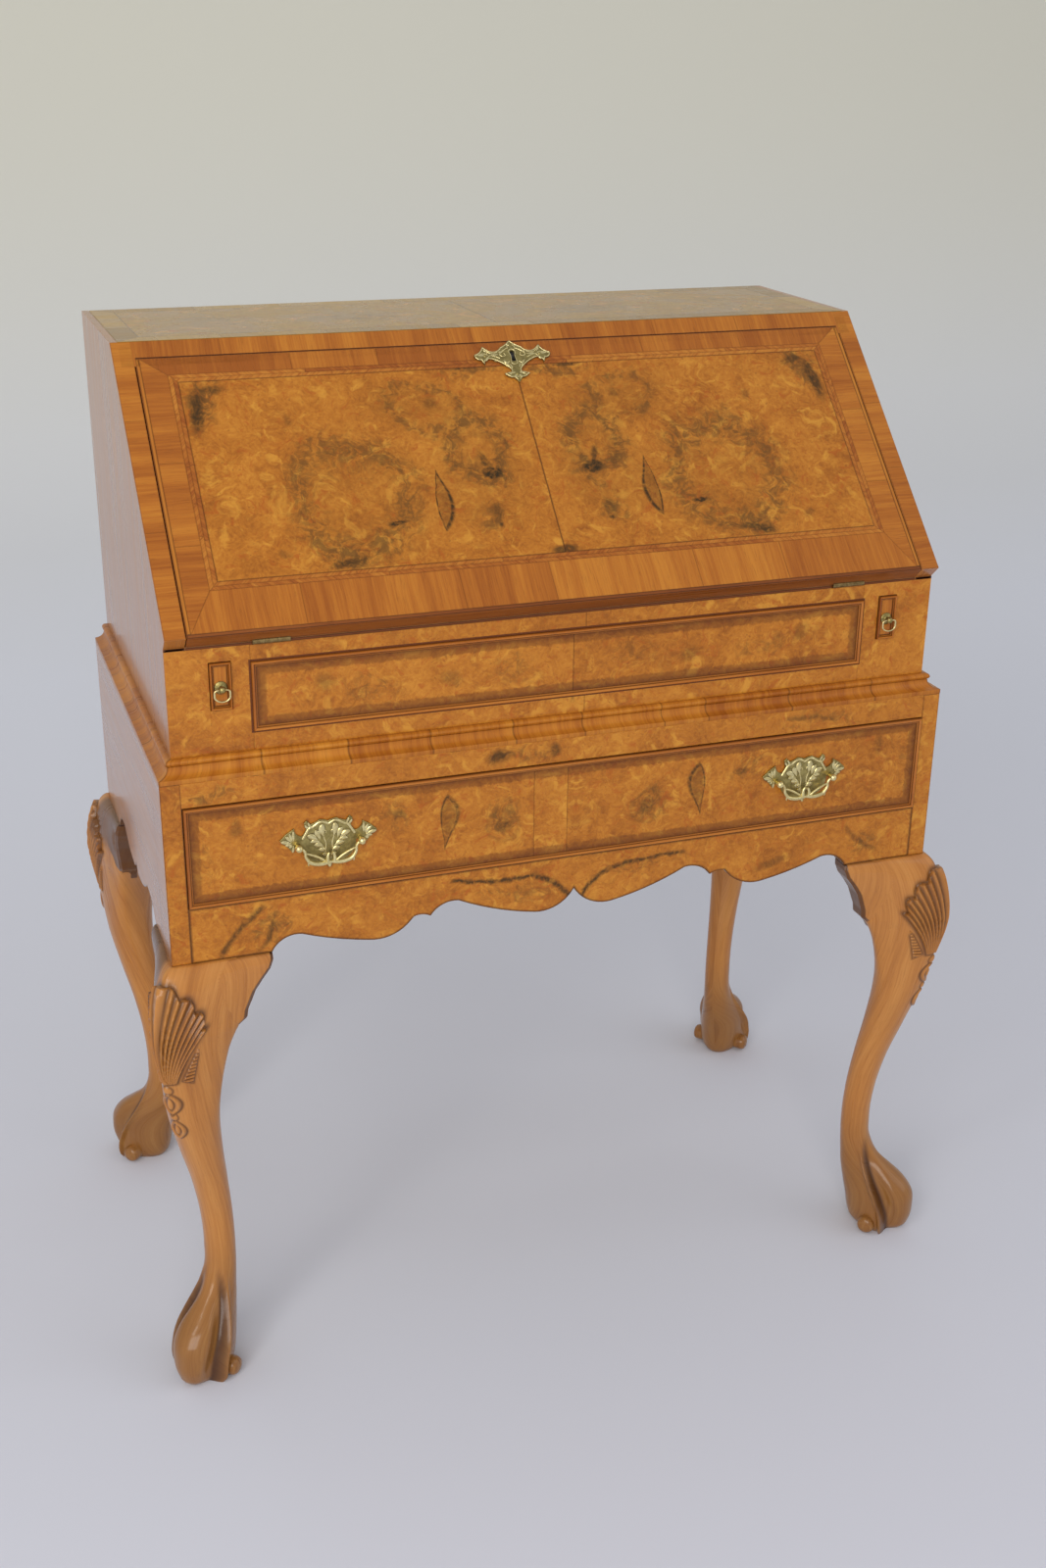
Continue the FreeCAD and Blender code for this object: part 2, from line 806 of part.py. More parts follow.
def keyhole_prism(depth):
    radius = mm("keyhole_radius")
    drop = mm("keyhole_length") - 2 * radius
    slot = radius * KEYHOLE_SLOT
    disc = Part.makeCylinder(radius, depth, vec(0, drop / 2, 0))
    stem = Part.makeBox(2 * slot, drop, depth, vec(-slot, -drop / 2, 0))
    foot = Part.makeCylinder(radius * KEYHOLE_FOOT, depth, vec(0, -drop / 2, 0))
    return disc.fuse([stem, foot])


def scaled_edge(edge, wide, tall):
    # Turns shares of a half width and of a height into millimetres.
    steps = []
    for step in edge:
        steps.append(tuple(share * (tall if index % 2 else wide) for index, share in enumerate(step)))
    return steps


def escutcheon_pin_places():
    return scaled_edge(PIN_PLACES, mm("escutcheon_width") / 2, mm("escutcheon_height"))


def escutcheon_plate():
    # Cast plate of leaf points round a diamond.
    thick = mm("escutcheon_thickness")
    steps = scaled_edge(ESCUTCHEON_EDGE, mm("escutcheon_width") / 2, mm("escutcheon_height"))
    plate = mirrored_face(steps[0], steps[1:]).extrude(vec(0, 0, thick))
    plate = plate.cut(keyhole_prism(thick))
    for x, y in escutcheon_pin_places():
        plate = plate.cut(Part.makeCylinder(mm("escutcheon_pin_radius"), thick, vec(x, y, 0)))
    return plate


def escutcheon_pins():
    pins = []
    top = mm("escutcheon_thickness")
    radius = mm("escutcheon_pin_radius")
    length = mm("escutcheon_pin_length")
    for x, y in escutcheon_pin_places():
        pin = Part.makeCylinder(radius, length, vec(x, y, top - length))
        head = Part.makeCone(2 * radius, radius, radius, vec(x, y, top))
        pins.append(pin.fuse(head))
    return Part.makeCompound(pins)


def make_fall():
    blank = fall_box(
        "fall_blank", ("-fall_half", "fall_half"), ("0", "fall_length"), ("0", "fall_thickness")
    )
    leather_x = ("-fall_half + leather_margin", "fall_half - leather_margin")
    leather_along = ("leather_margin", "fall_length - leather_top_margin")
    node(fall_box("fall_leather", leather_x, leather_along, ("0", "leather_thickness")))
    leather_recess = fall_box(
        "leather_recess", leather_x, leather_along, (f"-{OVERSHOOT}", "leather_thickness")
    )

    lock_x = ("-lock_width / 2", "lock_width / 2")
    lock_along = ("fall_length - lock_height", "fall_length")
    lock_recess = fall_box(
        "lock_recess",
        lock_x,
        (lock_along[0], f"fall_length + {OVERSHOOT}"),
        (f"-{OVERSHOOT}", "lock_depth"),
    )
    lock = fall_box("lock_blank", lock_x, lock_along, ("0", "lock_depth"))
    channel = fall_box(
        "bolt_channel",
        ("-bolt_half - bolt_gap", "bolt_half + bolt_gap"),
        ("fall_length - bolt_length - bolt_gap", f"fall_length + {OVERSHOOT}"),
        ("bolt_cover - bolt_gap", "bolt_top + bolt_gap"),
    )
    node(cut("fall_lock_case", lock, [channel]))
    node(
        fall_box(
            "lock_bolt",
            ("-bolt_half", "bolt_half"),
            ("fall_length - bolt_length", "fall_length - bolt_gap"),
            ("bolt_cover", "bolt_top"),
        )
    )

    key_along = "slope_length - escutcheon_drop"
    plate = on_fall(shaped("escutcheon_plate", escutcheon_plate()), "0", key_along, "fall_thickness")
    pins = on_fall(shaped("escutcheon_pins", escutcheon_pins()), "0", key_along, "fall_thickness")
    node(group("escutcheon", [plate, pins]))
    keyhole = shaped("keyhole_bore", keyhole_prism(mm("fall_thickness") - mm("lock_depth") + OVERSHOOT))
    on_fall(keyhole, "0", key_along, "lock_depth")
    pin_holes = on_fall(shaped("pin_holes", escutcheon_pins()), "0", key_along, "fall_thickness")

    leaf = fall_box(
        "fall_leaf_recess",
        ("hinge_in", "hinge_out"),
        (f"-{OVERSHOOT}", "leaf_depth"),
        (f"-{OVERSHOOT}", "leaf_thickness"),
    )
    barrel = hinge_barrel_recess("fall_barrel_recess")
    tools = [leather_recess, lock_recess, keyhole, pin_holes]
    for tool in [leaf, barrel] + fall_screws("fall_screw_hole"):
        tools += [tool, mirror(tool.Label + "_left", tool)]
    node(cut("fall_board", blank, tools))


# Lopers with their runners, partitions, beads and ring pulls

def make_lopers():
    depth = ("panel_back", "case_rear")
    partition = board(
        "partition_blank", ("partition_in", "partition_out"), depth, ("bottom_top", "bed_under")
    )
    slot = board(
        "peg_slot",
        (f"partition_in - {OVERSHOOT}", f"partition_out + {OVERSHOOT}"),
        ("peg_y - loper_travel - peg_radius - peg_gap", "peg_y + peg_radius + peg_gap"),
        ("loper_mid_z - peg_radius - peg_gap", "loper_mid_z + peg_radius + peg_gap"),
    )
    node(pair("loper_partitions", cut("loper_partition", partition, [slot])))

    block = board(
        "runner_blank",
        ("partition_out", "case_inner"),
        depth,
        ("loper_under - loper_gap - loper_runner_thickness", "bed_under"),
    )
    way = board(
        "loper_way",
        ("partition_out", "loper_right_x + loper_gap"),
        (f"panel_back - {OVERSHOOT}", f"case_rear + {OVERSHOOT}"),
        ("loper_under - loper_gap", f"bed_under + {OVERSHOOT}"),
    )
    node(pair("loper_runners", cut("loper_runner", block, [way])))

    bar = board(
        "loper_bar",
        ("loper_left_x", "loper_right_x"),
        ("case_front", "case_front + loper_length"),
        ("loper_under", "loper_top"),
    )
    peg = rod(
        "loper_peg",
        "x",
        "peg_radius",
        ("loper_left_x - peg_reach", "loper_x"),
        "peg_y",
        "loper_mid_z",
    )
    bolt_hole = rod(
        "loper_pull_hole",
        "y",
        "ring_radius + ring_gap",
        "loper_x",
        (f"case_front - {OVERSHOOT}", "case_front + pull_reach"),
        "pull_z",
    )
    right = node(cut("loper_right", fuse("loper_blank", [bar, peg]), [bolt_hole]))
    node(mirror("loper_left", right))
    for name, side in (("right", 1), ("left", -1)):
        node(
            bead_frame(
                f"loper_bead_{name}",
                mm("loper_width") / 2,
                mm("loper_under"),
                mm("loper_top"),
                mm("case_front"),
                mm("loper_bead_width"),
                mm("bead_proud"),
                centre=side * mm("loper_x"),
            )
        )
        at_pull = (f"{side} * loper_x", "case_front", "pull_z")
        node(placed(shaped(f"loper_pull_{name}", ring_pull()), at_pull))
        node(placed(shaped(f"loper_ring_{name}", drop_ring()), at_pull))


def placed(piece, place):
    for axis, formula in zip("xyz", place):
        bind(piece, f"Placement.Base.{axis}", formula)
    return piece


def ring_pull():
    # Rosette, stem with a ball eye, and a shank let into the loper; the eye is bored for the ring.
    rose = mm("pull_rose_radius")
    eye = mm("pull_eye_radius")
    reach = mm("pull_reach")
    stem = mm("pull_stem_radius")
    rim = mm("pull_rim")
    dish = mm("pull_dish")
    pull = turned([(0, 0), (rose, 0), (rose, -rim), (stem, -dish), (stem, -reach), (0, -reach)])
    shank = Part.makeCylinder(mm("ring_radius"), reach, ORIGIN, Y_AXIS)
    ball = Part.makeSphere(eye, vec(0, -reach, 0))
    through = eye + OVERSHOOT
    bore = Part.makeCylinder(
        mm("ring_radius") + mm("ring_gap"), 2 * through, vec(-through, -reach, 0), X_AXIS
    )
    return pull.fuse([ball, shank]).cut(bore)


def drop_ring():
    # Stirrup ring: a bar through the eye, two shoulders, two straight sides and a half round below.
    half = mm("ring_width") / 2 - mm("ring_radius")
    drop = mm("ring_drop")
    reach = mm("pull_reach")
    bar = mm("pull_eye_radius") + mm("ring_clearance")
    bend = half - bar
    knee = bend * (1 - math.sqrt(0.5))
    turn = drop - half
    corners = ((bar, 0), (half, -bend), (half, -turn))
    left = [vec(-x, -reach, z) for x, z in corners]
    right = [vec(x, -reach, z) for x, z in corners]
    edges = [
        Part.makeLine(left[0], right[0]),
        Part.Arc(right[0], vec(half - knee, -reach, -knee), right[1]).toShape(),
        Part.makeLine(right[1], right[2]),
        Part.Arc(right[2], vec(0, -reach, -drop), left[2]).toShape(),
        Part.makeLine(left[2], left[1]),
        Part.Arc(left[1], vec(knee - half, -reach, -knee), left[0]).toShape(),
    ]
    return tube(edges, mm("ring_radius"), left[0], X_AXIS)


# Inside the case: the well's cover, pigeonholes and two small drawers

def make_interior():
    cover = board(
        "cover_blank",
        ("-well_half + cover_gap", "well_half - cover_gap"),
        ("well_front + cover_gap", "well_back"),
        ("cover_under", "bed_height - cover_gap"),
    )
    hollow = rod(
        "finger_hollow",
        "z",
        "finger_radius",
        "0",
        "well_front + 2 * finger_radius",
        ("bed_height - cover_gap - finger_depth", f"bed_height + {OVERSHOOT}"),
    )
    node(cut("well_cover", cover, [hollow]))

    inside = ("-case_inner", "case_inner")
    depth = ("unit_front", "case_rear")
    floor = board("pigeonhole_floor", inside, depth, ("bed_height", "unit_floor_top"))
    shelf = board("pigeonhole_shelf", inside, depth, ("unit_shelf_under", "unit_shelf_top"))
    node(group("pigeonhole_shelves", [floor, shelf]))

    dividers = []
    for index in range(1, PIGEONHOLES):
        centre = f"(-case_inner + 2 * case_inner * {index} / {PIGEONHOLES})"
        x = (f"{centre} - divider_thickness / 2", f"{centre} + divider_thickness / 2")
        dividers.append(
            board(
                f"pigeonhole_divider_{index}",
                x,
                ("divider_front", "case_rear"),
                ("unit_shelf_top", "top_under"),
            )
        )
    for side, sign in (("left", -1), ("right", 1)):
        centre = f"{sign} * centre_half"
        x = (f"{centre} - divider_thickness / 2", f"{centre} + divider_thickness / 2")
        dividers.append(board(f"drawer_divider_{side}", x, depth, ("unit_floor_top", "unit_shelf_under")))
    node(group("pigeonhole_dividers", dividers))

    valances = []
    for index in range(PIGEONHOLES):
        low = f"(-case_inner + 2 * case_inner * {index} / {PIGEONHOLES})"
        high = f"(-case_inner + 2 * case_inner * {index + 1} / {PIGEONHOLES})"
        left = low if index == 0 else f"{low} + divider_thickness / 2"
        right = high if index == PIGEONHOLES - 1 else f"{high} - divider_thickness / 2"
        strip = board(
            f"valance_blank_{index + 1}",
            (left, right),
            ("divider_front", "divider_front + valance_thickness"),
            ("top_under - valance_height", "top_under"),
        )
        span = f"(case_inner / {PIGEONHOLES})"
        radius = f"({span} ^ 2 + valance_arch ^ 2) / (2 * valance_arch)"
        arch = rod(
            f"valance_arch_{index + 1}",
            "y",
            radius,
            f"({low} + {high}) / 2",
            (f"divider_front - {OVERSHOOT}", f"divider_front + valance_thickness + {OVERSHOOT}"),
            f"top_under - valance_height + valance_arch - {radius}",
        )
        valances.append(cut(f"valance_{index + 1}", strip, [arch]))
    node(group("pigeonhole_valances", valances))
    make_small_drawers()


# The knob's outline: shares of its radius and of its length.
KNOB_OUTLINE = (
    (0, 0),
    (0.8, 0),
    (0.8, 0.12),
    (0.42, 0.3),
    (0.42, 0.45),
    (1, 0.7),
    (0.8, 0.92),
    (0.3, 1),
    (0, 1),
)


def make_small_drawers():
    front_back = "unit_front + small_front_thickness"
    floor_top = "small_low + small_bottom_thickness"
    left_wall = "small_in + small_side_thickness"
    right_wall = "small_out - small_side_thickness"
    rear_wall = "small_back - small_side_thickness"
    height = ("small_low", "small_high")
    pieces = [
        board("small_front", ("small_in", "small_out"), ("unit_front", front_back), height),
        board("small_side_inner", ("small_in", left_wall), (front_back, "small_back"), height),
        board("small_side_outer", (right_wall, "small_out"), (front_back, "small_back"), height),
        board("small_rear", (left_wall, right_wall), (rear_wall, "small_back"), height),
        board("small_floor", (left_wall, right_wall), (front_back, rear_wall), ("small_low", floor_top)),
    ]
    right = node(group("small_drawer_right", pieces))
    node(mirror("small_drawer_left", right))
    radius = mm("knob_radius")
    length = mm("knob_length")
    outline = [(radius * across, -length * along) for across, along in KNOB_OUTLINE]
    middle = "(small_in + small_out) / 2"
    for name, sign in (("right", 1), ("left", -1)):
        knob = shaped(f"small_knob_{name}", turned(outline))
        node(placed(knob, (f"{sign} * {middle}", "unit_front", "(small_low + small_high) / 2")))


# Stand: legs, brackets, rails, scalloped aprons, waist moulding

# Shares of the leg's height, then how far the leg reaches out and in along the corner's diagonal,
# where it is widest and its half width there, and how square its outer and inner halves are:
# 1 is square, 2 is round.
LEG_STATIONS = (
    (0.000, 15, -36, -10, 18, 2, 2),
    (0.026, 22, -43, -10, 23.5, 2, 2),
    (0.070, 29.5, -48.5, -9, 27.5, 2, 2),
    (0.107, 26.5, -53, -12, 26, 2, 2),
    (0.132, 17, -55.5, -18, 23.5, 2, 2),
    (0.158, 1, -57.5, -28, 20.5, 2, 2),
    (0.183, -14, -58.5, -36, 18, 2, 2),
    (0.224, -26, -60, -43, 16.2, 2, 2),
    (0.286, -29.4, -60.9, -45, 15.7, 2, 2),
    (0.365, -27, -59, -43, 15.9, 2, 2),
    (0.463, -17.5, -52.8, -35, 17.7, 1.95, 2),
    (0.561, -2.5, -45, -25, 21.3, 1.9, 2),
    (0.650, 11, -39.5, -20, 25.5, 1.75, 2),
    (0.702, 17.5, -38.5, -23, 28, 1.6, 2),
    (0.736, 21, -39, -26, 29.5, 1.5, 2.2),
    (0.770, 25, -41, -29, 32, 1.42, 2.3),
    (0.804, 28, -45, -33, 35, 1.35, 2.2),
    (0.832, 29.4, -52, -38, 39, 1.28, 1.9),
    (0.850, 29.5, -62, -41, 42, 1.25, 1.5),
    (0.880, 27.5, -76, -42.4, 42.4, 1.22, 1.2),
    (0.920, 22, -83, -42.4, 42.4, 1.18, 1.1),
    (0.965, 12.5, -84.8, -42.4, 42.4, 1.12, 1.06),
    (1.000, 0, -84.8, -42.4, 42.4, 1.06, 1.06),
)
# the diagonal of the block that the stations above are drawn for
STATION_DIAGONAL = 84.8
LEG_POINTS = 32
VOLUTE_RADIUS = 10
VOLUTE_HEIGHT = 10.6
VOLUTE_PLACE = -14
VOLUTE_HALF_WIDTH = 37


def leg_section(height, outer, inner, widest, half, power_out, power_in):
    points = []
    for index in range(LEG_POINTS):
        angle = 2 * math.pi * index / LEG_POINTS
        cosine = math.cos(angle)
        sine = math.sin(angle)
        power = power_out if cosine > 0 else power_in
        reach = outer - widest if cosine > 0 else widest - inner
        along = widest + reach * math.copysign(abs(cosine) ** (2 / power), cosine)
        across = half * math.copysign(abs(sine) ** (2 / power), sine)
        points.append(vec((along - across) * math.sqrt(0.5), (along + across) * math.sqrt(0.5), height))
    return smooth_loop(points)


def leg_shape():
    # The back right leg, with its outer corner at the origin and its diagonal along +X +Y.
    scale = mm("leg_block") * math.sqrt(2) / STATION_DIAGONAL
    sections = []
    for share, outer, inner, widest, half, power_out, power_in in LEG_STATIONS:
        spread = 1 + (scale - 1) * share
        spans = [spread * size for size in (outer, inner, widest, half)]
        sections.append(leg_section(share * mm("leg_height"), *spans, power_out, power_in))
    leg = Part.makeLoft(sections, True, False)
    across = vec(-math.sqrt(0.5), math.sqrt(0.5), 0)
    start = vec(VOLUTE_PLACE * math.sqrt(0.5), VOLUTE_PLACE * math.sqrt(0.5), VOLUTE_HEIGHT)
    volute = Part.makeCylinder(
        VOLUTE_RADIUS, 2 * VOLUTE_HALF_WIDTH, start - across * VOLUTE_HALF_WIDTH, across
    )
    return leg.fuse(volute)


def cross_tenon(label, y, low, high):
    # The tenon of a rail that runs across, on its right end.
    middle = f"({y[0]} + {y[1]}) / 2"
    return board(
        label,
        ("post_inner", "post_inner + tenon_length"),
        (f"{middle} - tenon_thickness / 2", f"{middle} + tenon_thickness / 2"),
        (f"{low} + tenon_shoulder", f"{high} - tenon_shoulder"),
    )


APRON_Y = ("stand_front", "apron_back")
TOP_RAIL_Y = ("stand_front", "top_rail_back")
BACK_RAIL_Y = ("back_rail_front", "stand_back")


def side_tenon(label, sign):
    # The tenon of a side rail, at its back or front end.
    near = f"{sign} * post_end"
    far = f"{sign} * (post_end + tenon_length)"
    y = (near, far) if sign > 0 else (far, near)
    middle = "(rail_inner + stand_half) / 2"
    return board(
        label,
        (f"{middle} - tenon_thickness / 2", f"{middle} + tenon_thickness / 2"),
        y,
        ("drawer_floor + tenon_shoulder", "frame_top - tenon_shoulder"),
    )


def apron_tenon(label):
    return cross_tenon(label, APRON_Y, "leg_height", "drawer_floor")


def top_rail_tenon(label):
    middle = "(stand_front + post_width / 2 + tenon_thickness / 2)"
    return board(
        label,
        ("post_inner", "post_inner + tenon_length"),
        (f"{middle} - tenon_thickness", middle),
        ("drawer_ceiling + tenon_shoulder / 2", "frame_top - tenon_shoulder / 2"),
    )


def back_rail_tenon(label):
    return cross_tenon(label, BACK_RAIL_Y, "leg_height", "frame_top")


def make_legs(leg):
    for name, sign in (("back", 1), ("front", -1)):
        shape = leg if sign > 0 else leg.mirror(ORIGIN, Y_AXIS)
        carved = placed(shaped(f"leg_{name}_loft", shape), ("stand_half", f"{sign} * stand_back", "0"))
        y = ("post_end", "stand_back") if sign > 0 else ("stand_front", "-post_end")
        post = board(f"post_{name}", ("post_inner", "stand_half"), y, ("leg_height", "frame_top"))
        mortises = [side_tenon(f"side_mortise_{name}", sign)]
        if sign > 0:
            mortises.append(back_rail_tenon("back_mortise"))
        else:
            mortises += [apron_tenon("apron_mortise"), top_rail_tenon("top_rail_mortise")]
        right = node(cut(f"leg_{name}_right", fuse(f"leg_{name}_blank", [carved, post]), mortises))
        node(mirror(f"leg_{name}_left", right))


# The bracket's free edge, as shares of its reach from the corner and of its drop below the rail.
BRACKET_EDGE = (
    (1.000, 0.000),
    (1.000, 0.083),
    (0.905, 0.300, 0.766, 0.653),
    (0.735, 0.770, 0.719, 0.908),
    (0.633, 1.000),
    (0.450, 1.000),
    (0.450, 0.000),
    (1.000, 0.000),
)


# How far the ear's face swells: at its free end and at the corner, as shares of the swell, and down
# its height, as shares of that and of the drop.
BRACKET_SWELLS = (0.05, 0.4)
BRACKET_PROFILE = ((0, 0), (0.75, 0.22), (1, 0.5), (0.9, 1))


def bracket_shape(leg):
    # The ear beside a leg, at +X +Y of the corner like the leg; its face is towards +Y.
    reach = mm("bracket_reach")
    drop = mm("bracket_drop")
    thick = mm("bracket_thickness")
    swell = mm("bracket_swell")
    steps = scaled_edge(BRACKET_EDGE, -reach, -drop)
    outline = closed_face(steps_to_edges(steps[0], steps[1:]))
    outline.rotate(ORIGIN, X_AXIS, 90)
    ear = outline.extrude(vec(0, thick + 2 * swell, 0))
    ear.translate(vec(0, -thick, 0))
    sections = []
    bottom = -drop - OVERSHOOT
    for x, share in zip((-reach - OVERSHOOT, 0), BRACKET_SWELLS):
        front = [vec(x, share * swell * out, bottom * down) for out, down in BRACKET_PROFILE]
        back = Part.makePolygon([front[-1], vec(x, -thick, bottom), vec(x, -thick, 0), front[0]])
        sections.append(Part.Wire([smooth_edge(front)] + back.Edges))
    ear = ear.common(Part.makeLoft(sections, True, True))
    ear.translate(vec(0, 0, mm("leg_height")))
    ear = ear.cut(leg)
    return max(ear.Solids, key=lambda solid: solid.Volume)


def make_brackets(leg):
    ear = bracket_shape(leg)
    # The same ear turned over the diagonal serves the side rail.
    turned_ear = ear.mirror(ORIGIN, vec(math.sqrt(0.5), -math.sqrt(0.5), 0))
    for name, sign in (("back", 1), ("front", -1)):
        both = Part.makeCompound([ear, turned_ear])
        if sign < 0:
            both = both.mirror(ORIGIN, Y_AXIS)
        corner = ("stand_half", f"{sign} * stand_back", "0")
        right = placed(shaped(f"knee_brackets_{name}_right", both), corner)
        node(pair(f"knee_brackets_{name}", right))


# Scallops of the front apron: shares of the half span between the brackets, then mm above its low line.
APRON_SCALLOPS = (
    (0.030, 9, 0.135, 0),
    (0.260, 9, 0.394, 25),
    (0.455, 22, 0.487, 13),
    (0.515, 16, 0.543, 15),
    (0.610, -1, 0.690, -3),
    (0.800, 4, 0.904, 14),
    (0.960, 12, 1.000, 0),
)
APRON_CUSP = 20
SIDE_SCALLOPS = (
    (0.060, 4, 0.170, 2),
    (0.370, 5, 0.610, 18),
    (0.860, 15, 1.000, 0),
)
SIDE_CUSP = 12


def scalloped_face(half_span, half_length, low, high, cusp, scallops):
    steps = []
    for step in scallops:
        steps.append((step[0] * half_span, low + step[1], step[2] * half_span, low + step[3]))
    steps += [(half_length, low), (half_length, high), (0, high)]
    return mirrored_face((0, low + cusp), steps)


def make_rails():
    low = mm("leg_height")
    reach = mm("bracket_reach")
    face = scalloped_face(
        mm("stand_half") - reach, mm("post_inner"), low, mm("drawer_floor"), APRON_CUSP, APRON_SCALLOPS
    )
    face.rotate(ORIGIN, X_AXIS, 90)
    board_shape = face.extrude(vec(0, mm("apron_thickness"), 0))
    blank = placed(shaped("front_apron_board", board_shape), ("0", "stand_front", "0"))
    tenon = apron_tenon("apron_tenon")
    node(fuse("front_apron", [blank, tenon, mirror("apron_tenon_left", tenon)]))

    face = scalloped_face(
        mm("stand_back") - reach, mm("post_end"), low, mm("frame_top"), SIDE_CUSP, SIDE_SCALLOPS
    )
    face.rotate(ORIGIN, X_AXIS, 90)
    face.rotate(ORIGIN, Z_AXIS, 90)
    board_shape = face.extrude(vec(mm("rail_thickness"), 0, 0))
    blank = placed(shaped("stand_side_board", board_shape), ("rail_inner", "0", "0"))
    right = fuse(
        "stand_side_right",
        [blank, side_tenon("side_tenon_back", 1), side_tenon("side_tenon_front", -1)],
    )
    node(right)
    node(mirror("stand_side_left", right))

    between = ("-post_inner", "post_inner")
    rail = board("top_rail_board", between, TOP_RAIL_Y, ("drawer_ceiling", "frame_top"))
    tenon = top_rail_tenon("top_rail_tenon")
    node(fuse("stand_top_rail", [rail, tenon, mirror("top_rail_tenon_left", tenon)]))
    rail = board("back_rail_board", between, BACK_RAIL_Y, ("leg_height", "frame_top"))
    tenon = back_rail_tenon("back_rail_tenon")
    node(fuse("stand_back_rail", [rail, tenon, mirror("back_rail_tenon_left", tenon)]))

    x = ("post_inner - runner_width", "post_inner")
    runner_z = ("drawer_floor - runner_height", "drawer_floor")
    runner = board("drawer_runner", x, ("apron_back", "back_rail_front"), runner_z)
    kicker = board(
        "drawer_kicker", x, ("top_rail_back", "back_rail_front"), ("drawer_ceiling", "frame_top")
    )
    node(pair("drawer_runners", group("runner_strips", [runner, kicker])))


# The moulding's section: share of the step it covers, then share of its height.
MOULDING_BEAD = ((0.20, 1.00), (0.38, 0.93), (0.42, 0.83), (0.36, 0.73), (0.26, 0.68))
MOULDING_HOLLOW = ((0.30, 0.66), (0.36, 0.46), (0.58, 0.30), (1.00, 0.22))


def moulding_wire(inner, outer, low, tall):
    # The section drawn on the vertical plane through the corner points inner and outer.
    def at(share, lift):
        return vec(
            inner[0] + share * (outer[0] - inner[0]),
            inner[1] + share * (outer[1] - inner[1]),
            low + lift * tall,
        )

    edges = [
        Part.makeLine(at(0, 0), at(1, 0)),
        Part.makeLine(at(1, 0), at(*MOULDING_HOLLOW[-1])),
        smooth_edge([at(*point) for point in reversed(MOULDING_HOLLOW)]),
        Part.makeLine(at(*MOULDING_HOLLOW[0]), at(*MOULDING_BEAD[-1])),
        smooth_edge([at(*point) for point in reversed(MOULDING_BEAD)]),
        Part.makeLine(at(*MOULDING_BEAD[0]), at(0, 1)),
        Part.makeLine(at(0, 1), at(0, 0)),
    ]
    return Part.Wire(edges)


def make_moulding():
    low = mm("frame_top")
    tall = mm("moulding_height")
    corner_in = (mm("case_half"), mm("case_front"))
    corner_out = (mm("stand_half"), mm("stand_front"))
    right = moulding_wire(corner_in, corner_out, low, tall)
    left = moulding_wire((-corner_in[0], corner_in[1]), (-corner_out[0], corner_out[1]), low, tall)
    rear = moulding_wire((corner_in[0], mm("stand_back")), (corner_out[0], mm("stand_back")), low, tall)
    front_strip = shaped("waist_moulding_front", Part.makeLoft([left, right], True, True))
    side_strip = shaped("waist_moulding_side", Part.makeLoft([right, rear], True, True))
    node(group("waist_moulding", [front_strip, side_strip, mirror("waist_moulding_left", side_strip)]))


# Long drawer and its two handles

def make_drawer():
    width = ("-drawer_half", "drawer_half")
    blank = board(
        "drawer_front_blank",
        width,
        ("stand_front", "drawer_face_back"),
        ("drawer_low", "drawer_high"),
    )
    side = board(
        "drawer_side",
        ("drawer_half - drawer_side_thickness", "drawer_half"),
        ("drawer_side_front", "drawer_rear"),
        ("drawer_low", "drawer_high - drawer_side_drop"),
    )
    lap = board(
        "drawer_side_lap",
        ("drawer_half - drawer_side_thickness", f"drawer_half + {OVERSHOOT}"),
        ("drawer_side_front", f"drawer_face_back + {OVERSHOOT}"),
        (f"drawer_low - {OVERSHOOT}", "drawer_high - drawer_side_drop"),
    )
    bottom_z = ("drawer_bottom_low", "drawer_bottom_low + drawer_bottom_thickness")
    bottom_x = "drawer_half - drawer_side_thickness + drawer_groove"
    bottom_y = ("drawer_face_back - drawer_groove", "drawer_rear")
    bottom = node(board("drawer_bottom", (f"-({bottom_x})", bottom_x), bottom_y, bottom_z))
    holes = []
    for index, sign in enumerate((-1, 1)):
        hole = rod(
            f"shank_hole_{index + 1}",
            "y",
            "post_shank_radius + shank_gap",
            f"handle_x + {sign} * post_spacing / 2",
            (f"stand_front - {OVERSHOOT}", f"drawer_face_back + {OVERSHOOT}"),
            "handle_z",
        )
        holes += [hole, mirror(f"shank_hole_{index + 1}_left", hole)]
    node(cut("drawer_front", blank, [lap, mirror("drawer_lap_left", lap), bottom] + holes))
    node(pair("drawer_sides", cut("drawer_side_grooved", side, [bottom])))
    back_x = "drawer_half - drawer_side_thickness"
    node(
        board(
            "drawer_back",
            (f"-({back_x})", back_x),
            ("drawer_rear - drawer_side_thickness", "drawer_rear"),
            (bottom_z[1], "drawer_high - drawer_side_drop"),
        )
    )
    node(
        bead_frame(
            "drawer_bead",
            mm("drawer_half"),
            mm("drawer_low"),
            mm("drawer_high"),
            mm("stand_front"),
            mm("bead_width"),
            mm("bead_proud"),
        )
    )


# The plate's right half, as shares of its half width and of its height, from the top middle down.
PLATE_EDGE = (
    (0.00, 0.440),
    (0.10, 0.475, 0.17, 0.485),
    (0.26, 0.440, 0.37, 0.405),
    (0.44, 0.495),
    (0.50, 0.440),
    (0.46, 0.330, 0.55, 0.185),
    (0.63, 0.215, 0.70, 0.360),
    (0.87, 0.260),
    (1.00, 0.143),
    (0.88, 0.040),
    (0.75, -0.112),
    (0.66, -0.025, 0.56, -0.005),
    (0.50, -0.240, 0.43, -0.322),
    (0.28, -0.385, 0.09, -0.400),
    (0.00, -0.505),
)


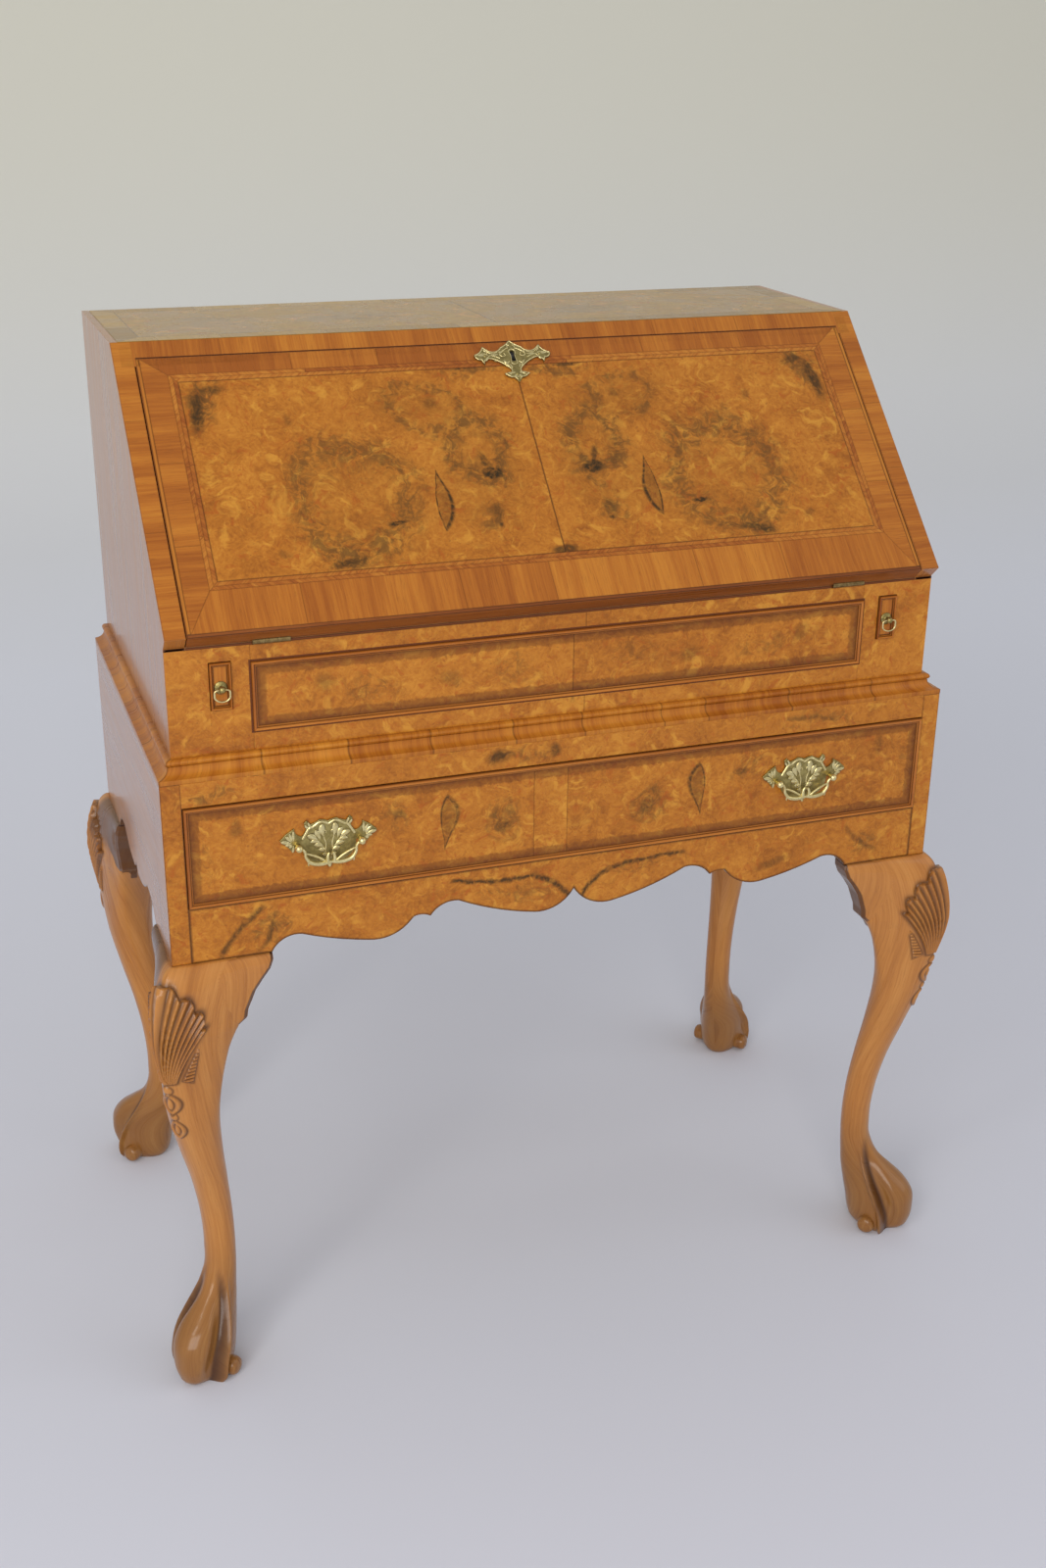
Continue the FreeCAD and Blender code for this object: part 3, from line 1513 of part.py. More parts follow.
def handle_plate():
    steps = scaled_edge(PLATE_EDGE, mm("plate_width") / 2, mm("plate_height"))
    plate = mirrored_face(steps[0], steps[1:]).extrude(vec(0, 0, mm("plate_thickness")))
    plate.rotate(ORIGIN, X_AXIS, 90)
    hole = mm("post_stem_radius") + mm("shank_gap")
    for sign in (-1, 1):
        start = vec(sign * mm("post_spacing") / 2, -mm("plate_thickness"), 0)
        plate = plate.cut(Part.makeCylinder(hole, mm("plate_thickness"), start, Y_AXIS))
    return plate


def handle_post(sign):
    # Ball-headed post with a shank through the drawer front and a round nut behind it.
    x = sign * mm("post_spacing") / 2
    reach = mm("post_reach")
    thick = mm("drawer_front_thickness")
    nut = mm("nut_thickness")
    ball = Part.makeSphere(mm("post_ball_radius"), vec(x, -reach, 0))
    stem = Part.makeCylinder(mm("post_stem_radius"), reach, vec(x, -reach, 0), Y_AXIS)
    shank = Part.makeCylinder(mm("post_shank_radius"), thick + nut, vec(x, 0, 0), Y_AXIS)
    round_nut = Part.makeCylinder(mm("nut_radius"), nut, vec(x, thick, 0), Y_AXIS)
    inward = vec(-sign, 0, 0)
    bore_start = vec(x, -reach, 0) - inward * mm("bail_pin_radius")
    bore = Part.makeCylinder(
        mm("bail_pin_radius") + mm("bail_gap"), 2 * mm("post_ball_radius"), bore_start, inward
    )
    return ball.fuse([stem, shank, round_nut]).cut(bore)


def quarter_bend(radius, start, direction, centre, axis):
    # A round rod bent through a quarter turn about an axis beside it.
    section = Part.Face(Part.Wire([Part.makeCircle(radius, start, direction)]))
    return section.revolve(centre, axis, 90)


def bail():
    # Swan bail: two pins in the balls, rounded shoulders, a level grip and a small block in its middle.
    half = mm("post_spacing") / 2
    bend = mm("bail_bend")
    reach = mm("post_reach")
    drop = mm("bail_drop")
    radius = mm("bail_radius")
    pin_end = half - mm("post_ball_radius") - mm("bail_gap")
    side = pin_end - bend
    inner = side - (drop - bend)
    limb = [
        Part.makeCylinder(mm("bail_pin_radius"), half - pin_end, vec(pin_end, -reach, 0), X_AXIS),
        quarter_bend(radius, vec(pin_end, -reach, 0), X_AXIS, vec(pin_end, -reach, -bend), -Y_AXIS),
        quarter_bend(radius, vec(side, -reach, -bend), Z_AXIS, vec(inner, -reach, -bend), Y_AXIS),
    ]
    grip = Part.makeCylinder(radius, 2 * inner, vec(-inner, -reach, -drop), X_AXIS)
    block = Part.makeSphere(mm("bail_block_radius"), vec(0, -reach, -drop), X_AXIS)
    return grip.fuse([block] + limb + [piece.mirror(ORIGIN, X_AXIS) for piece in limb])


def make_handles():
    posts = Part.makeCompound([handle_post(-1), handle_post(1)])
    at_right = ("handle_x", "stand_front", "handle_z")
    at_left = ("-handle_x", "stand_front", "handle_z")
    for label, shape in (("handle_plates", handle_plate()), ("handle_posts", posts)):
        right = placed(shaped(label + "_right", shape), at_right)
        left = placed(shaped(label + "_left", shape), at_left)
        node(group(label, [right, left]))
    node(placed(shaped("bail_right", bail()), at_right))
    node(placed(shaped("bail_left", bail()), at_left))


def check_document():
    doc.recompute()
    for item in doc.Objects:
        if "Invalid" in item.State or "Error" in item.State:
            raise RuntimeError(f"{item.Label} did not compute: {item.State}")
    for piece in nodes:
        if piece.Shape.isNull() or not piece.Shape.isValid() or not piece.Shape.Solids:
            raise RuntimeError(f"{piece.Label} has no valid solid")


make_case()
make_hinges()
make_fall()
make_lopers()
make_interior()
corner_leg = leg_shape()
make_legs(corner_leg)
make_brackets(corner_leg)
make_rails()
make_moulding()
make_drawer()
make_handles()
check_document()
os.makedirs("parts", exist_ok=True)
for piece in nodes:
    piece.Shape.exportStep(f"parts/{piece.Label}.step")
    print(piece.Label, len(piece.Shape.Solids), "solids", round(piece.Shape.Volume / 1000, 2), "cm3")
print(len(nodes), "nodes")
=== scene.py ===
import json
import math
import random

import bmesh
import bpy
import numpy as np
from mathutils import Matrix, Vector

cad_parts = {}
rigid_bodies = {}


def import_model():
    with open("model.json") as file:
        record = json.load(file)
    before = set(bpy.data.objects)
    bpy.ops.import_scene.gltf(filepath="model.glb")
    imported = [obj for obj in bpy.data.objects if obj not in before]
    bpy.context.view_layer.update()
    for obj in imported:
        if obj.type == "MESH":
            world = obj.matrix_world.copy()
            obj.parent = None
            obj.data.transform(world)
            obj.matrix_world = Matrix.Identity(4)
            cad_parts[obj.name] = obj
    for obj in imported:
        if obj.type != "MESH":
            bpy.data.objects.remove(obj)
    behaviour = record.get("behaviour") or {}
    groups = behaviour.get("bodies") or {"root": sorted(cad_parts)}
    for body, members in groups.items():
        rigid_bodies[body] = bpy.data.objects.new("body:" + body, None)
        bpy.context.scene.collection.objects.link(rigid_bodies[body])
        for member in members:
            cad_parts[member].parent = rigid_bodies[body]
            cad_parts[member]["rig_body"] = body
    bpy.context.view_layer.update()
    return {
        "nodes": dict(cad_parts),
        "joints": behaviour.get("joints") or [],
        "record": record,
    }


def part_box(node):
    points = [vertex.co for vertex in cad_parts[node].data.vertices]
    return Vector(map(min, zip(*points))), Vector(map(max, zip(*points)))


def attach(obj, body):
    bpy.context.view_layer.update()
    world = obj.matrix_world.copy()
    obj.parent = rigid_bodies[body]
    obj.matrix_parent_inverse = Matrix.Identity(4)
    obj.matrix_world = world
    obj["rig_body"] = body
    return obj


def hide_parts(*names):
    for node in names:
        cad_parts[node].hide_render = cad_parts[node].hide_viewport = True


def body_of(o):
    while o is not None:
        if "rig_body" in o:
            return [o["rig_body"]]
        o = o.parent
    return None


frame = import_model()
nodes = frame["nodes"]
joints = {item["name"]: item for item in frame["joints"]}
nodeSlots = {item["node"]: item["material_slot"] for item in frame["record"]["subparts"]}
scene = bpy.context.scene
axes = {"x": (1, 0, 0), "y": (0, 1, 0), "z": (0, 0, 1)}
mm = 0.001
quarterTurn = math.pi / 2
print("CAD loaded:", len(nodes), "nodes")


# Shader helpers: each adds nodes to a tree and gives the last one's output

def put(tree, kind, inputs=None, out=0, **settings):
    made = tree.nodes.new("ShaderNode" + kind)
    for key, value in settings.items():
        setattr(made, key, value)
    for key, value in (inputs or {}).items():
        if isinstance(value, bpy.types.NodeSocket):
            tree.links.new(value, made.inputs[key])
        else:
            made.inputs[key].default_value = value
    return made.outputs[out]


def calc(tree, operation, a, b=0.0, c=0.0):
    return put(tree, "Math", {0: a, 1: b, 2: c}, operation=operation)


def times(tree, a, b):
    return calc(tree, "MULTIPLY", a, b)


def timesPlus(tree, a, b, c):
    return calc(tree, "MULTIPLY_ADD", a, b, c)


def extreme(tree, values, operation="MAXIMUM"):
    found = values[0]
    for value in values[1:]:
        found = calc(tree, operation, found, value)
    return found


def combine(tree, x, y, z):
    return put(tree, "CombineXYZ", {0: x, 1: y, 2: z})


def split(tree, vector):
    return put(tree, "SeparateXYZ", {0: vector}, slice(None))


def noise(tree, vector, scale, detail=3.0, rough=0.55, distort=0.0, out=0):
    inputs = {"Vector": vector, "Scale": scale, "Detail": detail, "Roughness": rough, "Distortion": distort}
    return put(tree, "TexNoise", inputs, out)


def band(tree, value, low, high, to=(0.0, 1.0)):
    inputs = {0: value, 1: low, 2: high, 3: to[0], 4: to[1]}
    return put(tree, "MapRange", inputs, interpolation_type="SMOOTHSTEP")


def tint(tree, colour, tone, factor, gain=1.0, mode="MIX"):
    # lays a tone over the colour, as strongly as factor times gain
    inputs = {0: times(tree, factor, gain), 6: colour, 7: (*tone, 1.0)}
    return put(tree, "Mix", inputs, 2, data_type="RGBA", blend_type=mode)


def ramp(tree, factor, stops):
    made = tree.nodes.new("ShaderNodeValToRGB")
    tree.links.new(factor, made.inputs[0])
    points = made.color_ramp.elements
    while len(points) < len(stops):
        points.new(0.5)
    for point, (place, colour) in zip(points, stops):
        point.position = place
        point.color = (*colour, 1.0)
    return made.outputs[0]


def newMaterial(name):
    material = bpy.data.materials.new(name)
    material.use_nodes = True
    tree = material.node_tree
    tree.nodes.clear()
    output = tree.nodes.new("ShaderNodeOutputMaterial")
    shader = tree.nodes.new("ShaderNodeBsdfPrincipled")
    tree.links.new(shader.outputs[0], output.inputs[0])
    return material, tree, shader


def attribute(tree, name):
    return put(tree, "Attribute", None, 2, attribute_name=name)


def grainPlace(tree):
    # u runs along the grain and v across it, in metres
    return split(tree, put(tree, "UVMap", uv_map="grain"))[:2]


def objectPlace(tree):
    return put(tree, "TexCoord", None, 3)


def polish(tree, shader, colour, rough, height, depth, coat, specular=0.2):
    tree.links.new(colour, shader.inputs["Base Color"])
    tree.links.new(rough, shader.inputs["Roughness"])
    shader.inputs["Coat Weight"].default_value = coat
    shader.inputs["Coat Roughness"].default_value = 0.12
    shader.inputs["Specular IOR Level"].default_value = specular
    inputs = {"Strength": 0.6, "Distance": depth, "Height": height}
    tree.links.new(put(tree, "Bump", inputs), shader.inputs["Normal"])


# Straight grained walnut and oak
def straightWood(name, dark, mid, light, stripe=45.0, pore=0.5, coat=0.14, rough=0.3,
                 toneGain=0.22, foot=None, relief=0.00006):
    material, tree, shader = newMaterial(name)
    u, v = grainPlace(tree)
    tone = attribute(tree, "tone")
    shift = times(tree, tone, 7.3)

    def streaks(along, across, spread, *settings):
        place = combine(tree, times(tree, u, along), times(tree, across, spread), shift)
        return noise(tree, place, 1.0, *settings)

    across = timesPlus(tree, streaks(6.0, v, 12.0), 0.010, v)
    broad = streaks(2.6, across, stripe, 4.0, 0.6)
    fine = streaks(16.0, across, stripe * 9, 2.0)
    level = timesPlus(tree, fine, 0.36, times(tree, broad, 0.64))
    level = timesPlus(tree, tone, toneGain, level)
    colour = ramp(tree, level, [(0.34, dark), (0.5, mid), (0.66, light)])
    pores = band(tree, streaks(70.0, across, 1700.0, 1.0), 0.60, 0.72)
    colour = tint(tree, colour, [c * 0.35 for c in dark], pores, pore)
    # the feet are tinted browner and greyer towards the floor: a painted reflection of the floor
    if foot:
        colour = tint(tree, colour, foot, band(tree, u, 0.17, 0.05), 0.75, "MULTIPLY")
    colour = tint(tree, colour, (0.035, 0.012, 0.004), attribute(tree, "joint"), 0.72)
    # on wood the cut attribute is painted shade in grooves, creases and hollows, and a dark line along the
    # scalloped boards' edges
    colour = tint(tree, colour, (0.045, 0.014, 0.005), attribute(tree, "cut"), 0.85)
    roughness = band(tree, broad, 0.3, 0.7, (rough - 0.05, rough + 0.07))
    height = calc(tree, "SUBTRACT", times(tree, fine, 0.4), pores)
    polish(tree, shader, colour, roughness, height, relief, coat)
    return material


# A figure in the burr: an almond eye, a vein, an oval ring or a soft spot
def mark(kind, x, z, wide, tall, dark, turn=0, **more):
    # in mm from the seam, with half its width and height, and turned by degrees
    place = {"at": (x / 1000, z / 1000, 0.0), "size": (wide / 1000, tall / 1000, 1.0)}
    return {"kind": kind, "dark": dark, "turn": (0.0, 0.0, math.radians(turn)), **place, **more}


def figure(tree, point, item):
    inputs = {0: point, 1: item["at"], 2: item["turn"], 3: item["size"]}
    local = put(tree, "Mapping", inputs, vector_type="TEXTURE")
    kind, dark = item["kind"], item["dark"]
    if kind == "eye":
        x, y = split(tree, local)[:2]
        wide = calc(tree, "MAXIMUM", x, times(tree, x, -item["flat"]))
        fuller = calc(tree, "MAXIMUM", timesPlus(tree, y, item["full"], 1.0), 0.4)
        reach = timesPlus(tree, y, y, calc(tree, "DIVIDE", wide, fuller))
        rim = times(tree, band(tree, reach, 0.70, 0.98), band(tree, reach, 1.34, 1.04))
        inner = times(tree, band(tree, reach, 1.0, 0.75), dark * item["heart"])
        return calc(tree, "MAXIMUM", times(tree, rim, dark), inner)
    if kind == "vein":
        x, y = split(tree, local)[:2]
        sag = timesPlus(tree, times(tree, x, x), item["bow"], -0.5 * item["bow"])
        line = band(tree, calc(tree, "ABSOLUTE", calc(tree, "ADD", y, sag)), 1.0, 0.1)
        ends = band(tree, calc(tree, "ABSOLUTE", x), 1.0, 0.75)
        return times(tree, times(tree, line, ends), dark)
    reach = put(tree, "VectorMath", {0: local}, 1, operation="LENGTH")
    if kind == "ring":
        soft = item.get("rim", 0.24)
        rim = times(tree, band(tree, reach, 1.0 - soft, 1.0), band(tree, reach, 1.0 + soft, 1.0))
        return times(tree, rim, dark)
    return times(tree, band(tree, reach, 1.0, item.get("soft", 0.25)), dark)


# Burr walnut, bookmatched about u = 0 where it is mirrored
def burrWood(name, dark, mid, light, figures, clouds, hazes=(), beadShadeBox=None, mirror=True, coat=0.14):
    material, tree, shader = newMaterial(name)
    u, v = grainPlace(tree)
    leaf = calc(tree, "ABSOLUTE", u) if mirror else u
    tone = attribute(tree, "tone")
    flat = combine(tree, leaf, v, timesPlus(tree, u, 0.02, times(tree, tone, 0.4)))

    def wander(*settings):
        inputs = {0: noise(tree, flat, *settings, out=1), 1: (0.5, 0.5, 0.5)}
        return put(tree, "VectorMath", inputs, operation="SUBTRACT")

    def moved(drift, amount, start):
        inputs = {0: drift, 1: (amount, amount, 0.0), 2: start}
        return put(tree, "VectorMath", inputs, operation="MULTIPLY_ADD")

    drift = wander(24.0, 3.0, 0.6, 0.6)
    bent = moved(drift, 0.020, flat)
    calm = moved(drift, 0.004, flat)
    near = moved(wander(120.0, 3.0, 0.6, 0.0), 0.006, moved(drift, 0.009, flat))
    loose = moved(drift, 0.034, near)
    swirl = noise(tree, bent, 95.0, 5.0, 0.62, 1.6)
    curl = noise(tree, bent, 330.0, 3.0, 0.6, 0.8)
    cloud = noise(tree, flat, 17.0, 4.0, 0.6, 1.0)
    level = timesPlus(tree, curl, 0.26, times(tree, cloud, 0.38))
    level = timesPlus(tree, tone, 0.12, timesPlus(tree, swirl, 0.36, level))
    colour = ramp(tree, level, [(0.37, dark), (0.5, mid), (0.63, light)])
    gold = band(tree, noise(tree, bent, 38.0, 4.0, 0.6, 1.5), 0.52, 0.70)
    colour = tint(tree, colour, (0.66, 0.300, 0.038), gold, 0.75)
    ruddy = band(tree, noise(tree, bent, 52.0, 4.0, 0.65, 2.0), 0.54, 0.70)
    colour = tint(tree, colour, (0.40, 0.095, 0.010), ruddy, 0.7)
    speck = put(tree, "TexVoronoi", {"Vector": bent, "Scale": 210.0})
    speck = times(tree, band(tree, speck, 0.34, 0.10), band(tree, swirl, 0.50, 0.62))
    colour = tint(tree, colour, (0.13, 0.030, 0.006), speck, 0.40)
    for item in hazes:
        mottled = band(tree, noise(tree, bent, 70.0, 5.0, 0.7, 1.2), 0.34, 0.64, (0.25, 1.0))
        colour = tint(tree, colour, (0.215, 0.088, 0.010), figure(tree, loose, item), mottled)
    olive = extreme(tree, [figure(tree, loose, item) for item in clouds])
    ragged = calc(tree, "SUBTRACT", noise(tree, bent, 85.0, 5.0, 0.68, 1.4), 0.5)
    patch = band(tree, timesPlus(tree, ragged, 4.2, olive), 0.10, 1.10)
    depth = calc(tree, "MINIMUM", times(tree, olive, 1.1), 0.78)
    colour = tint(tree, colour, (0.125, 0.056, 0.011), patch, depth)
    if figures:
        shades = [figure(tree, calm if item["kind"] == "eye" else near, item) for item in figures]
        grit = band(tree, noise(tree, bent, 240.0, 3.0, 0.6), 0.30, 0.58, (0.45, 1.0))
        colour = tint(tree, colour, (0.036, 0.020, 0.005), extreme(tree, shades), grit)
    # painted shade on the field along the inside of the bead
    if beadShadeBox:
        x0, z0, x1, z1 = beadShadeBox
        sides = [calc(tree, "SUBTRACT", *pair) for pair in ((u, x0), (x1, u), (v, z0), (z1, v))]
        edge = extreme(tree, sides, "MINIMUM")
        edge = timesPlus(tree, calc(tree, "SUBTRACT", swirl, 0.5), 0.006, edge)
        wide = band(tree, edge, 0.0096, 0.0070, (0.0, 0.48))
        beadShade = calc(tree, "ADD", wide, band(tree, edge, 0.006, 0.0, (0.0, 0.3)))
        colour = tint(tree, colour, (0.105, 0.027, 0.005), beadShade)
    colour = tint(tree, colour, (0.030, 0.010, 0.003), attribute(tree, "joint"), 0.72)
    colour = tint(tree, colour, (0.030, 0.010, 0.003), attribute(tree, "cut"), 0.8)
    roughness = band(tree, cloud, 0.3, 0.7, (0.22, 0.33))
    polish(tree, shader, colour, roughness, curl, 0.00008, coat)
    return material


# Aged brass, darker in the cuts; the keyhole's painted shade and the steel are made the same way
def agedBrass(name, bright, dull, rough):
    material, tree, shader = newMaterial(name)
    place = objectPlace(tree)
    patch = noise(tree, place, 260.0, 4.0, 0.6)
    colour = ramp(tree, patch, [(0.35, dull), (0.62, bright)])
    colour = tint(tree, colour, (0.050, 0.032, 0.012), attribute(tree, "cut"), 0.9)
    roughness = band(tree, patch, 0.3, 0.7, (rough + 0.1, rough - 0.06))
    shader.inputs["Metallic"].default_value = 1.0
    polish(tree, shader, colour, roughness, noise(tree, place, 1900.0, 2.0), 0.00008, 0.0, 0.5)
    return material


# Grained leather, worn paler in patches
def grainedLeather(name, deep, worn):
    material, tree, shader = newMaterial(name)
    place = objectPlace(tree)
    cells = put(tree, "TexVoronoi", {"Vector": place, "Scale": 900.0})
    patch = noise(tree, place, 12.0, 4.0)
    colour = ramp(tree, patch, [(0.35, deep), (0.7, worn)])
    colour = tint(tree, colour, (0.010, 0.016, 0.010), band(tree, cells, 0.25, 0.6, (0.0, 0.35)))
    polish(tree, shader, colour, band(tree, patch, 0.3, 0.7, (0.42, 0.58)), cells, 0.0002, 0.0)
    return material


# What lies in each burr: dark figures, olive clouds, soft hazes and the box inside a bead, whose edges get
# painted shade
burrs = {
    "fall": {
        "figures": [
            mark("eye", 107, 119, 3.6, 31, 0.95, 3, flat=0.38, full=-0.5, heart=0.36),
            mark("spot", 51, 144, 12.5, 9, 1.0, 10, soft=0.55), mark("spot", 56, 158, 6, 14, 0.75, -25),
            mark("ring", 60, 165, 19, 22, 0.16, 15), mark("spot", 57, 100, 9, 14, 0.45, 10),
            mark("spot", 56, 88, 4, 4, 0.8), mark("spot", 153, 98, 11, 4, 0.95, -8, soft=0.4),
            mark("spot", 205, 62, 26, 8, 0.8, -14), mark("spot", 95, 226, 10, 9, 0.4),
            mark("spot", 315, 228, 10, 34, 0.85, 8), mark("spot", 297, 252, 20, 7, 0.7, 6),
            mark("spot", 55, 263, 24, 4, 0.8, 4), mark("spot", 4, 56, 13, 7, 0.8),
            mark("spot", 262, 75, 10, 6, 0.4, 25), mark("spot", 235, 215, 6, 10, 0.4, -20),
        ],
        "clouds": [
            mark("ring", 186, 126, 50, 54, 0.66, 10, rim=0.75), mark("spot", 200, 182, 52, 30, 0.62, 14),
            mark("spot", 200, 72, 58, 32, 0.72, -8), mark("ring", 60, 174, 25, 32, 0.72, rim=0.8),
            mark("spot", 52, 140, 34, 30, 0.70), mark("spot", 62, 98, 22, 24, 0.62),
            mark("spot", 308, 238, 32, 40, 0.78, 15), mark("spot", 40, 257, 60, 16, 0.66),
            mark("ring", 100, 222, 34, 26, 0.62, 25, rim=0.5),
        ],
        "hazes": [
            mark("spot", 175, 128, 100, 92, 0.22, 8, soft=0.5),
            mark("spot", 58, 150, 60, 90, 0.28, 5, soft=0.4),
            mark("spot", 105, 222, 75, 42, 0.32, 10, soft=0.3),
        ],
    },
    "panel": {
        "figures": [mark("spot", 120, 715, 16, 10, 0.4, 20), mark("spot", 240, 725, 12, 14, 0.4, -30)],
        "clouds": [
            mark("spot", 60, 720, 40, 22, 0.44), mark("spot", 200, 712, 50, 20, 0.48, 8),
            mark("spot", 10, 690, 30, 12, 0.45),
        ],
    },
    "drawer": {
        "figures": [
            mark("eye", 131, 578, 4.2, 27, 0.85, 3, flat=0.45, full=0.8, heart=0.5),
            mark("spot", 73, 568, 12, 10, 0.55, 20), mark("ring", 74, 566, 17, 15, 0.22, 12),
            mark("spot", 176, 592, 9, 6, 0.5, -20), mark("spot", 330, 600, 8, 14, 0.4),
        ],
        "clouds": [
            mark("spot", 73, 572, 34, 30, 0.62), mark("spot", 180, 595, 34, 20, 0.46, 15),
            mark("spot", 362, 575, 14, 40, 0.35),
        ],
        "beadShadeBox": (-0.3719, 0.5303, 0.3719, 0.6194),
    },
    "apron": {
        "figures": [
            mark("vein", -330, 496, 36, 5, 0.75, 47, bow=1.0),
            mark("vein", -306, 486, 18, 4, 0.5, 60, bow=-1.0),
            mark("vein", -83, 512, 50, 4, 0.9, -3, bow=-1.3),
            mark("vein", -22, 497, 26, 5.2, 0.9, -38, bow=0.7),
            mark("vein", 21, 493, 24, 4.8, 0.9, 42, bow=0.8), mark("vein", 74, 509, 50, 4, 0.85, 4, bow=0.7),
            mark("spot", -158, 473, 10, 5, 0.75), mark("spot", -206, 453, 20, 6, 0.7, 10),
            mark("vein", 318, 497, 28, 4.6, 0.45, -38, bow=-0.8), mark("spot", 215, 485, 30, 6, 0.45, 14),
            mark("spot", -78, 638, 18, 10, 0.8, 10), mark("spot", -22, 640, 8, 10, 0.7),
            mark("vein", 250, 638, 30, 4, 0.5, -6, bow=0.5),
        ],
        "clouds": [
            mark("spot", -300, 495, 36, 22, 0.66, 20), mark("spot", -60, 495, 75, 16, 0.5),
            mark("spot", 80, 505, 80, 14, 0.5, 6), mark("spot", 320, 495, 34, 24, 0.55),
            mark("spot", -350, 636, 40, 12, 0.6), mark("spot", -50, 637, 70, 12, 0.5),
            mark("spot", 260, 637, 70, 12, 0.5),
        ],
        "mirror": False,
    },
    "top": {
        "figures": [],
        "clouds": [mark("spot", 120, 100, 90, 50, 0.55, 10), mark("spot", 270, 130, 60, 40, 0.5, -12)],
        "coat": 0.42,
    },
}
panelBeadShadeBox = (-0.3015, 0.6907, 0.3015, 0.7467)
burrTones = ((0.300, 0.092, 0.010), (0.460, 0.160, 0.017), (0.580, 0.232, 0.028))
topTones = ((0.25, 0.116, 0.010), (0.39, 0.200, 0.016), (0.50, 0.285, 0.026))
finishes = {
    "fallBurr": burrWood("fall burr", *burrTones, **burrs["fall"]),
    "panelBurr": burrWood("panel burr", *burrTones, **burrs["panel"]),
    "panelField": burrWood("panel field burr", *burrTones, **burrs["panel"], beadShadeBox=panelBeadShadeBox),
    "drawerBurr": burrWood("drawer burr", *burrTones, **burrs["drawer"]),
    "apronBurr": burrWood("apron burr", *burrTones, **burrs["apron"]),
    "topBurr": burrWood("top burr", *topTones, **burrs["top"]),
    "crossband": straightWood("crossband walnut", (0.33, 0.094, 0.012), (0.44, 0.142, 0.017),
                              (0.54, 0.200, 0.024), 55.0, 0.3, toneGain=0.10),
    "waistband": straightWood("waist walnut", (0.36, 0.105, 0.013), (0.50, 0.172, 0.019),
                              (0.62, 0.245, 0.028), 55.0, 0.3, toneGain=0.09),
    "feather": straightWood("feather walnut", (0.30, 0.080, 0.011), (0.42, 0.132, 0.017),
                            (0.54, 0.205, 0.028), 260.0),
    # dark walnut for the fall's nose and the board edges, also the colour of the painted shadow lines by the
    # writing bed and round the panel's bead
    "noseband": straightWood("nose walnut and painted shadow", (0.15, 0.040, 0.008), (0.23, 0.064, 0.012), (0.31, 0.095, 0.018)),
    "topVeneer": straightWood("top walnut", (0.31, 0.155, 0.013), (0.41, 0.215, 0.019),
                              (0.50, 0.275, 0.028), coat=0.42, relief=0.000006),
    "veneer": straightWood("plain walnut", (0.30, 0.095, 0.018), (0.40, 0.140, 0.026),
                           (0.49, 0.190, 0.038), coat=0.72, relief=0.000001),
    "bead": straightWood("bead walnut", (0.30, 0.082, 0.011), (0.42, 0.132, 0.017),
                         (0.52, 0.185, 0.027), pore=0.25, coat=0.3),
    # carved walnut, whose feet get the painted floor reflection
    "carved": straightWood("carved walnut", (0.38, 0.140, 0.030), (0.49, 0.195, 0.042),
                           (0.58, 0.255, 0.062), 48.0, 0.25, coat=0.45, foot=(0.48, 0.54, 0.68)),
    "inner": straightWood("inner walnut", (0.16, 0.062, 0.020), (0.30, 0.125, 0.040),
                          (0.40, 0.185, 0.064), coat=0.1, rough=0.42),
    "oak": straightWood("lining oak", (0.25, 0.145, 0.065), (0.40, 0.255, 0.125),
                        (0.50, 0.335, 0.180), 70.0, 0.6, 0.0, 0.6),
    "brass": agedBrass("aged brass", (0.88, 0.76, 0.38), (0.68, 0.56, 0.25), 0.30),
    "brassGround": agedBrass("stippled brass", (0.46, 0.37, 0.135), (0.26, 0.205, 0.072), 0.42),
    "brassDull": agedBrass("dull brass", (0.34, 0.24, 0.10), (0.20, 0.13, 0.05), 0.42),
    "iron": agedBrass("keyhole iron", (0.110, 0.105, 0.100), (0.020, 0.018, 0.016), 0.5),
    "steel": agedBrass("bolt steel", (0.56, 0.56, 0.57), (0.34, 0.34, 0.35), 0.32),
    "leather": grainedLeather("green leather", (0.020, 0.050, 0.026), (0.050, 0.090, 0.050)),
}
print("materials:", len(finishes))


# Mesh helpers
leafThick = 0.00045
chamfer = 0.00012
darkEdge = 0.0022
flush = 4e-5


def layer(bm, name):
    # the grain map lies on the corners, tone on the faces, joint and cut on the vertices
    homes = {"grain": bm.loops.layers.uv, "tone": bm.faces.layers.float}
    home = homes.get(name, bm.verts.layers.float)
    return home.get(name) or home.new(name)


def grainMap(bm, axis):
    bm.normal_update()
    uvLayer = layer(bm, "grain")
    for face in bm.faces:
        along = Vector(axes[axis])
        across = face.normal.cross(along)
        if across.length < 0.2:
            across = face.normal.orthogonal()
            along = face.normal.cross(across).normalized() * 0.3
        across = across.normalized()
        for loop in face.loops:
            loop[uvLayer].uv = (loop.vert.co.dot(along), loop.vert.co.dot(across))


def addMesh(name, mesh, finish, body, slot, replaced=(), smooth=35.0, even=False):
    mesh.materials.append(finishes[finish])
    mesh.shade_smooth()
    mesh.set_sharp_from_angle(angle=math.radians(smooth))
    piece = bpy.data.objects.new(name, mesh)
    scene.collection.objects.link(piece)
    if even:
        piece.modifiers.new("even", "WEIGHTED_NORMAL").keep_sharp = True
    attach(piece, body)
    if replaced:
        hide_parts(*replaced)


def addPiece(name, bm, *settings, turnOut=False, **more):
    if turnOut:
        bmesh.ops.recalc_face_normals(bm, faces=bm.faces)
    bm.normal_update()
    mesh = bpy.data.meshes.new(name)
    bm.to_mesh(mesh)
    bm.free()
    addMesh(name, mesh, *settings, **more)


def cadMesh(node):
    bm = bmesh.new()
    bm.from_mesh(nodes[node].data)
    bmesh.ops.remove_doubles(bm, verts=bm.verts, dist=1e-6)
    return bm


def cutLargeFaces(bm):
    bmesh.ops.triangulate(bm, faces=[face for face in bm.faces if len(face.verts) > 4])


